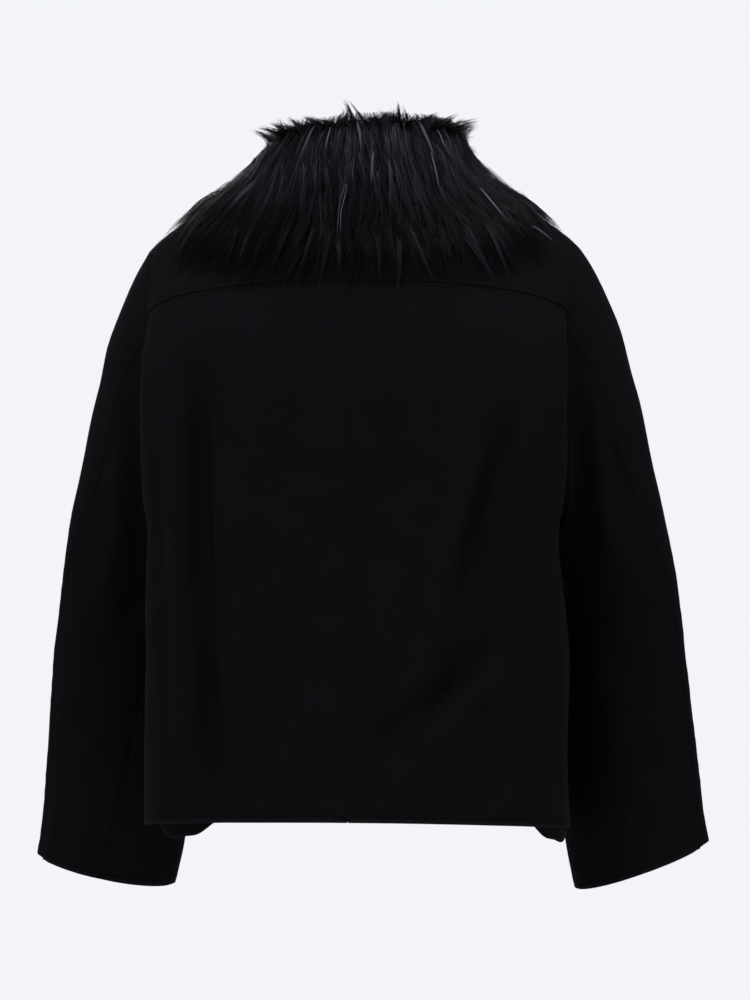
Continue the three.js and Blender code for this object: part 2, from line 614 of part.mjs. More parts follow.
// The fur as one solid: its underside follows the body and the stand, its outside is in locks
function furSolid() {
  const columns = LOCKS_A_SIDE * 2;
  const cloth = {
    back: { 1: facets("back", 1), [-1]: facets("back", -1) },
    front: { 1: facets("front", 1), [-1]: facets("front", -1) },
  };
  const outer = [];
  const inner = [];
  for (const row of FUR_ROWS) {
    const outerRow = [];
    const innerRow = [];
    for (let k = -columns; k <= columns; k += 1) {
      const hand = k < 0 ? -1 : 1;
      const turn = Math.abs(k) / columns;
      const isLock = k % 2 === 0;
      const spread = unevenness(k);
      const ragged = row.ragged * RAGGED_REACH * (isLock ? spread / 2 : -(1 + spread) / 2);
      const lock = row.lock * (isLock ? mix(LOCK_EVENNESS, 1, spread) : -LOCK_EVENNESS);
      const out = row.out + ragged;
      const { side, across, fall } = underFur(turn, out);
      const onBody = cloth[side][hand](across, fall);
      if (side === "front" && hand > 0)
        onBody.point.addScaledVector(onBody.normal, lapRise(onBody.point.x));
      const onStand = standPoint(turn, row.up, 0, 0, hand, FUR_END_GAP);
      const start = row.out > 0 ? onBody.point.clone() : onStand.point.clone();
      const lean = onBody.normal.clone().lerp(onStand.normal, row.lean).normalize();
      if (row.out === 0 && row.lean === 1) lean.copy(onStand.normal);
      const clearance = row.out > 0 ? FUR_ON_BODY : FUR_ON_STAND;
      const under = start.clone().addScaledVector(lean, clearance);
      const depth = Math.max(row.pile + lock, clearance + LEAST_FUR);
      const over = start.clone().addScaledVector(lean, depth);
      over.z += row.lift - hand * FUR_TILT * row.up * Math.sin(Math.PI * turn);
      for (const point of [under, over]) {
        const least = FUR_END_GAP * smooth(turn, 1 - END_SHARE, 1);
        if (hand * point.x < least) point.x = hand * least;
      }
      innerRow.push(under);
      outerRow.push(over);
    }
    outer.push(outerRow);
    inner.push(innerRow);
  }
  return solidBetween(outer, inner);
}

const wool = () => new THREE.MeshStandardMaterial({ color: 0x0c0c0f, roughness: 0.92, metalness: 0 });
const fur = () => new THREE.MeshStandardMaterial({ color: 0x121116, roughness: 0.55, metalness: 0 });

const jacket = new THREE.Group();

function sewOn(name, geometry, material) {
  const piece = new THREE.Mesh(geometry, material);
  piece.name = name;
  jacket.add(piece);
}

sewOn("back_yoke", yokePanel(), wool());
for (const [word, hand] of [["left", 1], ["right", -1]]) {
  sewOn(`back_${word}`, bodyPanel("back", hand), wool());
  sewOn(`front_${word}`, bodyPanel("front", hand), wool());
  sewOn(`under_sleeve_${word}`, sleevePanel(hand, HIND_COLUMN, UNDER_COLUMN), wool());
  sewOn(`top_sleeve_${word}`, sleevePanel(hand, UNDER_COLUMN, HIND_COLUMN + ROUND_COLUMNS), wool());
}
sewOn("collar_stand", standWall(), wool());
sewOn("fur_collar", furSolid(), fur());

export default jacket;
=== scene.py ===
# %% [markdown]
# A short boxy jacket of black double-faced wool with a collar of long black fur, filled out as if
# somebody wore it, seen from behind. Lengths are in metres, but for the table of folds. The solids
# give the size and place of each sewn panel, so each panel of cloth starts as the outer skin of its
# own solid, and the hair of the collar grows from the underside of the fur's solid.

# %% Load the sewn panels
import math

import bmesh
import bpy
import numpy as np
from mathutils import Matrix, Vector, noise
from mathutils.bvhtree import BVHTree
from mathutils.kdtree import KDTree


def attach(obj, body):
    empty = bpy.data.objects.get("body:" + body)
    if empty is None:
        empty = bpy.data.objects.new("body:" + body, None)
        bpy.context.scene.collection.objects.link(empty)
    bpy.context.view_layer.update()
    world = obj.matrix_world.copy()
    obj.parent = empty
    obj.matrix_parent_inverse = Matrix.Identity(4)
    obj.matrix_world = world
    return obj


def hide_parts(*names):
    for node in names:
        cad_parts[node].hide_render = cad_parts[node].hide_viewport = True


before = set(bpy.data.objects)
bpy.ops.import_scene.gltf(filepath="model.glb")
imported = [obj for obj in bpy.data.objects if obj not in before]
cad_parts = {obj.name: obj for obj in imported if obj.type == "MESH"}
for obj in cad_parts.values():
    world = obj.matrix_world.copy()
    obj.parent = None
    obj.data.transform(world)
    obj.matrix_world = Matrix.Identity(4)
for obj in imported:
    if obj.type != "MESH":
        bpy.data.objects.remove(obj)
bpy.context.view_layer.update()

chance = np.random.default_rng(11)
print("panels", sorted(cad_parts))

# %% [markdown]
# The camera stands almost straight behind the jacket, a little towards the wearer's right, and at
# the height of the shoulder blades. A long lens keeps the sleeves as wide as the photograph has them.

# %% Camera
PICTURE = {"width": 750, "height": 1000, "metres_a_pixel": 0.001, "axis_column": 364.5}
CAMERA = {"azimuth": math.radians(187), "distance": 4.6, "height": -0.32, "film": 36}

def show(piece):
    bpy.context.scene.collection.objects.link(piece)

def add_camera():
    turn = CAMERA["azimuth"]
    right = Vector((math.cos(turn), math.sin(turn), 0))
    towards_camera = Vector((math.sin(turn), -math.cos(turn), 0))
    aside = (PICTURE["width"] / 2 - PICTURE["axis_column"]) * PICTURE["metres_a_pixel"]
    target = right * aside + Vector((0, 0, CAMERA["height"]))
    lens = bpy.data.cameras.new("camera")
    lens.sensor_fit = "VERTICAL"
    lens.sensor_height = CAMERA["film"]
    lens.lens = CAMERA["film"] * CAMERA["distance"] / (PICTURE["height"] * PICTURE["metres_a_pixel"])
    camera = bpy.data.objects.new("camera", lens)
    camera.location = target + towards_camera * CAMERA["distance"]
    camera.rotation_euler = (-towards_camera).to_track_quat("-Z", "Y").to_euler()
    show(camera)
    bpy.context.scene.camera = camera
    return camera

print("camera at", tuple(round(v, 3) for v in add_camera().location))

# %% [markdown]
# Black cloth shows its folds only where light comes mostly from one side, so a broad lamp stands high
# behind the jacket, weaker ones stand at its sides, and the pale room gives little light of its own.
# The floor is where a wearer would stand.

# %% Light, room and floor
ROOM_COLOUR = (0.896, 0.905, 0.947)
ROOM_GLOW = 0.20
FLOOR = {"height": -1.45, "radius": 4.0, "sides": 96, "colour": (0.86, 0.87, 0.9), "roughness": 0.7}
LAMPS = {
    "key": {"place": (0.9, 2.5, 2.3), "size": 1.3, "watts": 66},
    "left side": {"place": (2.7, 0.9, 0.3), "size": 1.0, "watts": 11},
    "right side": {"place": (-2.7, 1.1, 0.5), "size": 1.0, "watts": 20},
    "top": {"place": (-0.3, 0.5, 2.6), "size": 1.4, "watts": 44},
    "front": {"place": (0.6, -2.8, 1.2), "size": 1.6, "watts": 50},
}

def add_lamp(name, place, size, watts):
    light = bpy.data.lights.new(name, "AREA")
    light.energy = watts
    light.size = size
    lamp = bpy.data.objects.new(name, light)
    lamp.location = place
    aim = Vector((0, 0, CAMERA["height"])) - Vector(place)
    lamp.rotation_euler = aim.to_track_quat("-Z", "Y").to_euler()
    show(lamp)

for lamp_name, lamp in LAMPS.items():
    add_lamp(lamp_name, **lamp)

def pale_room():
    """A room that looks pale but lights the jacket only dimly."""
    room = bpy.data.worlds.new("pale room")
    room.use_nodes = True
    tree = room.node_tree
    shown = tree.nodes["Background"]
    shown.inputs["Color"].default_value = (*ROOM_COLOUR, 1)
    dim = tree.nodes.new("ShaderNodeBackground")
    dim.inputs["Color"].default_value = (*ROOM_COLOUR, 1)
    dim.inputs["Strength"].default_value = ROOM_GLOW
    seen = tree.nodes.new("ShaderNodeLightPath")
    either = tree.nodes.new("ShaderNodeMixShader")
    tree.links.new(seen.outputs["Is Camera Ray"], either.inputs[0])
    tree.links.new(dim.outputs[0], either.inputs[1])
    tree.links.new(shown.outputs[0], either.inputs[2])
    tree.links.new(either.outputs[0], tree.nodes["World Output"].inputs["Surface"])
    bpy.context.scene.world = room

pale_room()
bpy.context.scene.view_settings.view_transform = "Standard"

def give(node, **values):
    """Sets inputs of a shader node; an underscore stands for the space in an input's name."""
    for name, value in values.items():
        node.inputs[name.replace("_", " ")].default_value = value

def add_floor():
    bpy.ops.object.select_all(action="DESELECT")
    bpy.ops.mesh.primitive_circle_add(
        vertices=FLOOR["sides"], radius=FLOOR["radius"], fill_type="NGON",
        location=(0, 0, FLOOR["height"]))
    floor = bpy.context.active_object
    floor.name = "floor"
    paint = bpy.data.materials.new("floor paint")
    paint.use_nodes = True
    shader = paint.node_tree.nodes["Principled BSDF"]
    give(shader, Base_Color=(*FLOOR["colour"], 1), Roughness=FLOOR["roughness"])
    floor.data.materials.append(paint)

add_floor()

# %% [markdown]
# Every panel starts from a copy of its solid. Its doubled points are merged, the narrow faces round
# its edge are deleted, and of the two sides that are left the larger one is the outer skin. The skin
# is made of four-sided faces again, so that Subdivision Surface can round it.

# %% Outer skin of a panel
WELD = 1e-5

def read_rows(items, field, kind=float):
    rows = np.empty(len(items) * 3, kind)
    items.foreach_get(field, rows)
    return rows.reshape(-1, 3)

def points_of(mesh):
    return read_rows(mesh.vertices, "co")

def normals_of(mesh):
    return read_rows(mesh.vertex_normals, "vector")

def tree_of(places):
    tree = KDTree(len(places))
    for k, place in enumerate(places):
        tree.insert(place, k)
    tree.balance()
    return tree

def only(piece):
    bpy.ops.object.select_all(action="DESELECT")
    piece.select_set(True)
    bpy.context.view_layer.objects.active = piece

def switch_to(mode):
    bpy.ops.object.mode_set(mode=mode)

def select_every(action="SELECT"):
    bpy.ops.mesh.select_all(action=action)

def modify(piece, kind, **settings):
    """Adds a modifier with these settings and applies it."""
    only(piece)
    modifier = piece.modifiers.new(kind, kind)
    for name, value in settings.items():
        setattr(modifier, name, value)
    bpy.ops.object.modifier_apply(modifier=modifier.name)

def copy_of(node, name):
    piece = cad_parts[node].copy()
    piece.data = piece.data.copy()
    piece.name = name
    piece.data.name = name
    for mark in list(piece.keys()):
        del piece[mark]
    piece.parent = None
    show(piece)
    piece.data.materials.clear()
    only(piece)
    bpy.ops.mesh.customdata_custom_splitnormals_clear()
    switch_to("EDIT")
    select_every()
    bpy.ops.mesh.remove_doubles(threshold=WELD)
    switch_to("OBJECT")
    return piece

def select_faces(piece, chosen):
    switch_to("EDIT")
    bpy.ops.mesh.select_mode(type="FACE")
    select_every("DESELECT")
    switch_to("OBJECT")
    for face in piece.data.polygons:
        face.select = face.index in chosen
    switch_to("EDIT")

def keep_faces(piece, kept):
    select_faces(piece, set(range(len(piece.data.polygons))) - set(kept))
    bpy.ops.mesh.delete(type="FACE")
    switch_to("OBJECT")

def partners(places):
    """For each point of a wall, the point behind it, which is nearer than any other."""
    tree = tree_of(places)
    return [tree.find_n(place, 2)[1][1] for place in places]

def joined_faces(form):
    """Groups of faces that hang together, as sets."""
    unseen, groups = set(form.faces), []
    while unseen:
        front = [unseen.pop()]
        group = set(front)
        while front:
            around = {o for face in front for e in face.edges for o in e.link_faces if o in unseen}
            unseen -= around
            group |= around
            front = list(around)
        groups.append(group)
    return groups

def diagonals(form):
    """The edges that split a grid's four-sided faces, followed from a corner of the grid."""
    corner = next(f for f in form.faces if sum(e.is_boundary for e in f.edges) == 2)
    first = next(e for e in corner.edges if not e.is_boundary)
    found, seen, front = {first}, {corner}, [(corner, first)]
    while front:
        face, diagonal = front.pop()
        apex = next(v for v in face.verts if v not in diagonal.verts)
        for edge in face.edges:
            for other in edge.link_faces:
                if other in seen:
                    continue
                far = next(v for v in other.verts if v not in edge.verts)
                split = edge if edge == diagonal else next(
                    e for e in other.edges if apex in e.verts and far in e.verts)
                seen.add(other)
                found.add(split)
                front.append((other, split))
    return list(found)

def skin_of(piece):
    """Keeps the outer side of a wall, as four-sided faces."""
    behind = partners(points_of(piece.data))
    rim = {f.index for f in piece.data.polygons if any(behind[v] in f.vertices for v in f.vertices)}
    keep_faces(piece, set(range(len(piece.data.polygons))) - rim)
    form = bmesh.new()
    form.from_mesh(piece.data)
    sides = sorted(joined_faces(form), key=lambda side: sum(face.calc_area() for face in side))
    bmesh.ops.delete(form, geom=list(sides[0]), context="FACES")
    bmesh.ops.dissolve_edges(form, edges=diagonals(form))
    form.to_mesh(piece.data)
    form.free()

def round_off(piece, levels):
    modify(
        piece, "SUBSURF", levels=levels, render_levels=levels, boundary_smooth="PRESERVE_CORNERS")

def refine(piece, levels):
    """Rounds a skin. Rounding draws it in, so its corners are moved out by as much first."""
    corners = points_of(piece.data)
    cage = corners.copy()
    for _ in range(DRAW_OUT_TURNS):
        trial = piece.copy()
        trial.data = piece.data.copy()
        show(trial)
        trial.data.vertices.foreach_set("co", cage.ravel())
        round_off(trial, 1)
        cage += corners - points_of(trial.data)[:len(corners)]
        bpy.data.objects.remove(trial)
    piece.data.vertices.foreach_set("co", cage.ravel())
    round_off(piece, levels)
    return np.abs(points_of(piece.data)[:len(corners)] - corners).max()

def outer_skin(node):
    piece = copy_of(node, f"wool_{node}")
    skin_of(piece)
    quads = sum(len(face.vertices) == 4 for face in piece.data.polygons)
    off = refine(piece, LEVELS)
    print(node, "quads", quads, "off by at most", round(1000 * float(off), 2), "mm")
    return piece

BACK_PANELS = ["back_yoke", "back_left", "back_right"]
FRONT_PANELS = ["front_left", "front_right"]
SLEEVE_PANELS = ["under_sleeve_left", "top_sleeve_left", "under_sleeve_right", "top_sleeve_right"]
LEVELS = 2
DRAW_OUT_TURNS = 3
skins = {}
for node in BACK_PANELS + FRONT_PANELS + SLEEVE_PANELS + ["collar_stand"]:
    skins[node] = outer_skin(node)

# %% [markdown]
# The panels are drawn together at their seams. Seams pull the cloth in a little, and free edges are
# turned and felled by hand, which shows as a fine line a few millimetres from the edge. Both need to
# know how far each point is from the nearest seam or free edge, and how far along it.

# %% Join the seams and measure the way to every edge
SEAM_REACH = 0.004
JOIN_REACH = 0.0032
OVERLAP = 0.0008

def rim_of(mesh):
    """Points of the open edge in order, with the way along it to each and the way out of the panel."""
    form = bmesh.new()
    form.from_mesh(mesh)
    start = next(v for v in form.verts if v.is_boundary)
    loop, last = [start], None
    while True:
        here = loop[-1]
        around = [edge.other_vert(here) for edge in here.link_edges if edge.is_boundary]
        ahead = next(other for other in around if other != last)
        if ahead == start:
            break
        last = here
        loop.append(ahead)
    places = np.array([v.co[:] for v in loop])
    order = [v.index for v in loop]
    inner = [[e.other_vert(v).co for e in v.link_edges if not e.is_boundary] for v in loop]
    outward = [(v.co - near[0]).normalized() if near else Vector() for v, near in zip(loop, inner)]
    form.free()
    run = np.concatenate([[0], np.cumsum(np.linalg.norm(np.diff(places, axis=0), axis=1))])
    return order, places, run, outward

rims = {node: rim_of(skin.data) for node, skin in skins.items()}
rim_trees = {node: tree_of(rim[1]) for node, rim in rims.items()}

def sewn_to(node, others):
    """Which points of a panel's rim are sewn to one of the other panels."""
    trees = [rim_trees[name] for name in others if name != node]
    return np.array([min(tree.find(p)[2] for tree in trees) < SEAM_REACH for p in rims[node][1]])

def join_seams():
    """Moves each sewn point of a rim just past the middle between the panels that meet there."""
    for node, (order, places, run, outward) in rims.items():
        if node == "collar_stand":
            continue
        for index, place, out in zip(order, places, outward):
            meeting = [tree.find(place) for name, tree in rim_trees.items() if name != "collar_stand"]
            meeting = [found[0] for found in meeting if found[2] < JOIN_REACH]
            if len(meeting) > 1:
                middle = sum(meeting, Vector()) / len(meeting)
                skins[node].data.vertices[index].co = middle + out * OVERLAP

def write_attribute(mesh, name, values):
    attribute = mesh.attributes.get(name) or mesh.attributes.new(name, "FLOAT", "POINT")
    attribute.data.foreach_set("value", np.asarray(values, np.float32))

FAR = 1.0

def way_to(chosen, places, mesh):
    if not chosen.any():
        return np.full(len(mesh.vertices), FAR)
    tree = tree_of(places[chosen])
    return np.array([tree.find(p)[2] for p in points_of(mesh)])

edges = {}
for node, skin in skins.items():
    order, places, run, _ = rims[node]
    sewn = sewn_to(node, skins)
    lapped = sewn_to(node, ["back_left", "back_right"]) & (node == "back_yoke")
    if node in ("back_left", "back_right"):
        lapped = sewn_to(node, ["back_yoke"])
    edges[node] = {
        "seam": way_to(sewn, places, skin.data),
        "free": way_to(~sewn, places, skin.data),
        "lap": way_to(lapped, places, skin.data),
        "run": np.array([run[rim_trees[node].find(p)[1]] for p in points_of(skin.data)]),
    }
    print(node, "sewn share of its edge", round(float(sewn.mean()), 2))
join_seams()

# %% [markdown]
# The solids carry the large folds. Finer ones are added as soft troughs and ridges along bent lines,
# uneven in width and height. Worn wool this heavy has no sharp creases. The seams sink, the yoke laps
# over the back panels, and the cloth beside seams stands up in short shallow ripples.

# %% Fine folds, seams and ripples
# A row of CREASES is half a fold's width, its rise and the x and z of its bent line, in millimetres.
CREASES = {
    "back": [
        (10.2, -8.8, [(152, -180), (147, -320), (142, -417), (139, -490), (132, -563), (117, -622)]),
        (11, 7.4, [(176, -190), (172, -330), (166, -460), (160, -580), (150, -640)]),
        (7.6, -4.5, [(189, -250), (187, -380), (184, -500), (176, -600)]),
        (13.6, 4.5, [(118, -260), (116, -400), (108, -520), (90, -640)]),
        (18.7, -3.1, [(70, -200), (78, -340), (74, -480), (58, -600)]),
        (9.3, -8.8, [(-160, -215), (-152, -262), (-128, -330), (-115, -398), (-108, -450)]),
        (11.9, 6.6, [(-140, -240), (-112, -330), (-100, -369), (-84, -456), (-69, -539), (-50, -568)]),
        (10.2, -8, [(-156, -430), (-135, -466), (-103, -500), (-40, -544), (-25, -578), (-35, -630)]),
        (13.6, 6.3, [(-166, -480), (-120, -520), (-80, -560), (-58, -620)]),
        (8.5, 5.2, [(-182, -200), (-172, -290), (-164, -380), (-166, -460)]),
        (17, -3.1, [(-52, -180), (-46, -300), (-30, -430)]),
        (11, -4.5, [(-182, -500), (-160, -570), (-136, -640)]),
    ],
    "front": [
        (12, 3.9, [(90, -230), (118, -420), (150, -600)]),
        (11, -4.2, [(150, -200), (160, -380), (176, -560)]),
        (13, 3.9, [(-90, -230), (-100, -430), (-120, -640)]),
        (11, -3.6, [(-160, -210), (-166, -410), (-178, -600)]),
    ],
    "sleeve_left": [
        (10, 2.2, [(236, -330), (262, -400), (300, -460)]),
        (11, -2.4, [(214, -390), (250, -460), (296, -520)]),
        (12, 1.9, [(220, -470), (262, -550), (312, -610)]),
        (11, -2, [(262, -160), (276, -260), (288, -360)]),
        (22, 8, [(198, -300), (194, -370), (188, -450)]),
    ],
    "sleeve_right": [
        (22, 9, [(-198, -300), (-194, -370), (-188, -450)]),
        (10, 2.3, [(-232, -300), (-258, -370), (-292, -430)]),
        (11, -2.4, [(-212, -400), (-252, -480), (-300, -540)]),
        (12, 1.8, [(-224, -520), (-262, -590), (-306, -640)]),
        (10, 2.3, [(-226, -100), (-238, -180), (-243, -260), (-246, -340), (-254, -400)]),
        (11, -2.2, [(-258, -150), (-272, -240), (-284, -330)]),
    ],
}
MILLIMETRES = 1000
CREASE_FADE = 0.24
CALM_BY_EDGES = 0.026
SEAM_SINK = {"depth": 0.0013, "half": 0.0040}
LAP_STEP = {"over": 0.0010, "under": -0.0004, "half": 0.0100}
RIPPLES = {"height": 0.00035, "length": 0.019, "reach": 0.022, "clear": 0.006}
HEM_ROLL = {"height": 0.0007, "in": 0.003, "reach": 0.009}
WAVES = [{"size": 0.085, "height": 0.0022}, {"size": 0.034, "height": 0.0007}]

def step_smoothly(values, low, high):
    share = np.clip((values - low) / (high - low), 0, 1)
    return share * share * (3 - 2 * share)

def along_line(places, way):
    """The way off a bent line, and the share of its length beside which each place lies."""
    reach = np.linalg.norm(np.diff(way, axis=0), axis=1)
    passed = np.concatenate([[0], np.cumsum(reach)]) / reach.sum()
    off, share = np.full(len(places), FAR), np.zeros(len(places))
    for k, (start, stretch) in enumerate(zip(way[:-1], np.diff(way, axis=0))):
        on = (places - start) @ stretch / (stretch @ stretch)
        near = np.linalg.norm(places - start - np.clip(on, 0, 1)[:, None] * stretch, axis=1)
        closer = near < off
        off = np.where(closer, near, off)
        share = np.where(closer, passed[k] + (passed[k + 1] - passed[k]) * np.clip(on, 0, 1), share)
    return off, share

def hump(way, half):
    """Height 1 in the middle, falling softly to both sides."""
    return np.exp(-((way / half) ** 2))

def crease_rise(places, side):
    total = np.zeros(len(places))
    for half, rise, way in CREASES[side]:
        off, share = along_line(places[:, [0, 2]], np.array(way) / MILLIMETRES)
        fade = step_smoothly(share, 0, CREASE_FADE) * (1 - step_smoothly(share, 1 - CREASE_FADE, 1))
        total += rise / MILLIMETRES * fade * hump(off * MILLIMETRES, half)
    return total

def wave_rise(places):
    rise = np.zeros(len(places))
    for wave in WAVES:
        values = [noise.noise(Vector(place / wave["size"])) for place in places]
        rise += wave["height"] * np.array(values)
    return rise

UNDERARM = {
    "y": -0.012, "z": -0.362, "deep": 0.040, "high": 0.034, "inward": 0.018,
    "from": 0.170, "to": 0.184, "fades_from": 0.206, "gone_by": 0.232,
}

def drawn_in(places):
    """Under the arm the armhole and the cloth beside it lie closer to the body."""
    aside = np.abs(places[:, 0])
    near = hump(places[:, 1] - UNDERARM["y"], UNDERARM["deep"])
    near *= hump(places[:, 2] - UNDERARM["z"], UNDERARM["high"])
    near *= step_smoothly(aside, UNDERARM["from"], UNDERARM["to"])
    near *= 1 - step_smoothly(aside, UNDERARM["fades_from"], UNDERARM["gone_by"])
    moved = places.copy()
    moved[:, 0] -= np.sign(places[:, 0]) * UNDERARM["inward"] * near
    return moved

def side_of(node):
    if node in BACK_PANELS:
        return "back"
    if node in FRONT_PANELS:
        return "front"
    return "sleeve_left" if node.endswith("left") else "sleeve_right"

def lie_softly(node):
    mesh = skins[node].data
    places, near = points_of(mesh), edges[node]
    seam, free, lap = near["seam"], near["free"], near["lap"]
    rise = wave_rise(places)
    if node != "collar_stand":
        calm = 1 - hump(np.minimum(seam, free), CALM_BY_EDGES)
        rise += crease_rise(places, side_of(node)) * calm
        ripple = np.sin(2 * math.pi * near["run"] / RIPPLES["length"]) * np.exp(-seam / RIPPLES["reach"])
        rise += RIPPLES["height"] * ripple * step_smoothly(seam, 0, RIPPLES["clear"])
    plain = 1 - hump(lap, SEAM_SINK["half"])
    rise -= SEAM_SINK["depth"] * hump(seam, SEAM_SINK["half"]) * plain
    lift = LAP_STEP["over"] if node == "back_yoke" else LAP_STEP["under"]
    rise += lift * hump(lap, LAP_STEP["half"])
    rise += HEM_ROLL["height"] * hump(free - HEM_ROLL["in"], HEM_ROLL["reach"])
    lying = drawn_in(places + normals_of(mesh) * rise[:, None])
    mesh.vertices.foreach_set("co", lying.ravel())
    mesh.update()
    for kind in ("seam", "free", "lap", "run"):
        write_attribute(mesh, f"{kind}_way", near[kind])
    lowest, highest = (round(1000 * float(end), 1) for end in (rise.min(), rise.max()))
    print(node, "moved by", lowest, "to", highest, "mm")

for node in skins:
    lie_softly(node)

def faces_of(mesh):
    return [tuple(face.vertices) for face in mesh.polygons]

wool_points = np.concatenate([points_of(skin.data) for skin in skins.values()])
wool_faces, wool_start = [], 0
for skin in skins.values():
    wool_faces += [tuple(v + wool_start for v in face) for face in faces_of(skin.data)]
    wool_start += len(skin.data.vertices)
print("outer faces of the wool", len(wool_faces))

# %% [markdown]
# The skin becomes cloth of its real thickness with Solidify, and its cut edges are rounded with a
# bevel that the operator makes on the edges that turn sharply.

# %% Thickness and rounded edges
CLOTH = 0.0024
EDGE_ROUND = {"width": 0.0008, "turn": math.radians(60), "smooth": math.radians(50)}

def thicken(piece):
    modify(piece, "SOLIDIFY", thickness=CLOTH, offset=-1)
    modify(
        piece, "BEVEL", width=EDGE_ROUND["width"], segments=2, limit_method="ANGLE",
        angle_limit=EDGE_ROUND["turn"])
    bpy.ops.object.shade_smooth_by_angle(angle=EDGE_ROUND["smooth"])

for node, skin in skins.items():
    thicken(skin)
print("cloth faces", sum(len(skin.data.polygons) for skin in skins.values()))

# %% [markdown]
# Double-faced wool is felted and brushed, so it hardly shines, and fine fibres lie on it in one
# direction. Two node groups hold what all the wool shares: the nap with its patchy colour, and the
# line that hand felling leaves beside an edge.

# %% Node groups for the wool
def new_group(name, inputs, outputs):
    group = bpy.data.node_groups.new(name, "ShaderNodeTree")
    for socket, value in inputs.items():
        made = group.interface.new_socket(socket, in_out="INPUT", socket_type="NodeSocketFloat")
        made.default_value = value
    for socket, kind in outputs.items():
        group.interface.new_socket(socket, in_out="OUTPUT", socket_type=kind)
    given, result = group.nodes.new("NodeGroupInput"), group.nodes.new("NodeGroupOutput")
    return group, given.outputs, result.inputs

def worked(tree, operation, first, second, clamp=False):
    node = tree.nodes.new("ShaderNodeMath")
    node.operation = operation
    node.use_clamp = clamp
    for socket, value in zip(node.inputs, (first, second)):
        if isinstance(value, (int, float)):
            socket.default_value = value
        else:
            tree.links.new(value, socket)
    return node.outputs[0]

def times(tree, first, second, clamp=False):
    return worked(tree, "MULTIPLY", first, second, clamp)

def plus(tree, first, second, clamp=False):
    return worked(tree, "ADD", first, second, clamp)

def less(tree, first, second, clamp=False):
    return worked(tree, "SUBTRACT", first, second, clamp)

def mixed(tree, share, first, second):
    node = tree.nodes.new("ShaderNodeMix")
    node.data_type = "RGBA"
    tree.links.new(share, node.inputs["Factor"])
    for socket, value in ((node.inputs[6], first), (node.inputs[7], second)):
        if isinstance(value, tuple):
            socket.default_value = (*value, 1)
        else:
            tree.links.new(value, socket)
    return node.outputs[2]

def noise_at(tree, places, scale, detail, stretch=(1, 1, 1)):
    turned = tree.nodes.new("ShaderNodeMapping")
    turned.inputs["Scale"].default_value = stretch
    tree.links.new(places, turned.inputs["Vector"])
    node = tree.nodes.new("ShaderNodeTexNoise")
    if isinstance(scale, int):
        node.inputs["Scale"].default_value = scale
    else:
        tree.links.new(scale, node.inputs["Scale"])
    node.inputs["Detail"].default_value = detail
    tree.links.new(turned.outputs[0], node.inputs["Vector"])
    return node.outputs["Fac"]

WOOL_DEEP = (0.0019, 0.0018, 0.0026)
WOOL_MID = (0.0053, 0.0050, 0.0068)
WOOL_WORN = (0.0118, 0.0110, 0.0142)
FIBRE = {"stretch": (1, 1, 0.35), "shade": 0.55, "height": 0.6, "lint_from": 0.66, "lint_gain": 3.0}
TUFT_OF_NAP = {"scale": 150, "stretch": (1, 1, 0.6), "height": 0.8}
PATCH = {"shade": 0.6, "darker": 0.1, "roughness": 0.78, "rougher": 0.16}

def wool_nap():
    group, given, result = new_group(
        "wool nap", {"Fibre Scale": 520, "Patch Scale": 26},
        {"Color": "NodeSocketColor", "Roughness": "NodeSocketFloat", "Height": "NodeSocketFloat"})
    places = group.nodes.new("ShaderNodeTexCoord").outputs["Object"]
    fibre = noise_at(group, places, given["Fibre Scale"], 5, FIBRE["stretch"])
    tuft = noise_at(group, places, TUFT_OF_NAP["scale"], 3, TUFT_OF_NAP["stretch"])
    patch = noise_at(group, places, given["Patch Scale"], 4)
    shade = plus(group, times(group, fibre, FIBRE["shade"]), times(group, patch, PATCH["shade"]))
    shade = less(group, shade, PATCH["darker"], clamp=True)
    colour = mixed(group, shade, WOOL_DEEP, WOOL_MID)
    lint = less(group, fibre, FIBRE["lint_from"], clamp=True)
    lint = times(group, lint, FIBRE["lint_gain"], clamp=True)
    group.links.new(mixed(group, lint, colour, WOOL_WORN), result["Color"])
    rough = plus(group, times(group, patch, PATCH["rougher"]), PATCH["roughness"])
    group.links.new(rough, result["Roughness"])
    height = plus(group, times(group, fibre, FIBRE["height"]), times(group, tuft, TUFT_OF_NAP["height"]))
    group.links.new(height, result["Height"])
    return group

EULER = 2.718
STITCH_BEAT = {"mean": 0.72, "swing": 0.28}

def felled_line():
    """A fine dark line at an offset from an edge, broken in the beat of the stitches."""
    group, given, result = new_group(
        "felled line", {"Way": 1.0, "Run": 0.0, "Offset": 0.0055, "Half Width": 0.0009, "Stitch": 0.0042},
        {"Line": "NodeSocketFloat", "Worn": "NodeSocketFloat"})
    off = less(group, given["Way"], given["Offset"])
    off = worked(group, "DIVIDE", off, given["Half Width"])
    line = worked(group, "POWER", EULER, times(group, times(group, off, off), -1.0))
    turns = worked(group, "DIVIDE", given["Run"], given["Stitch"])
    beat = worked(group, "SINE", times(group, turns, 2 * math.pi), 0.0)
    beat = plus(group, times(group, beat, STITCH_BEAT["swing"]), STITCH_BEAT["mean"])
    group.links.new(times(group, line, beat), result["Line"])
    near = worked(group, "DIVIDE", given["Way"], given["Offset"])
    group.links.new(less(group, 1.0, near, clamp=True), result["Worn"])
    return group

NAP = wool_nap()
FELLED = felled_line()
print("groups", [group.name for group in bpy.data.node_groups])

# %% [markdown]
# All the wool is one cloth, so one function makes its material. Only the scale of its fibres and
# patches differs a little between body, sleeves and stand. It is nearly matt, with a faint sheen.

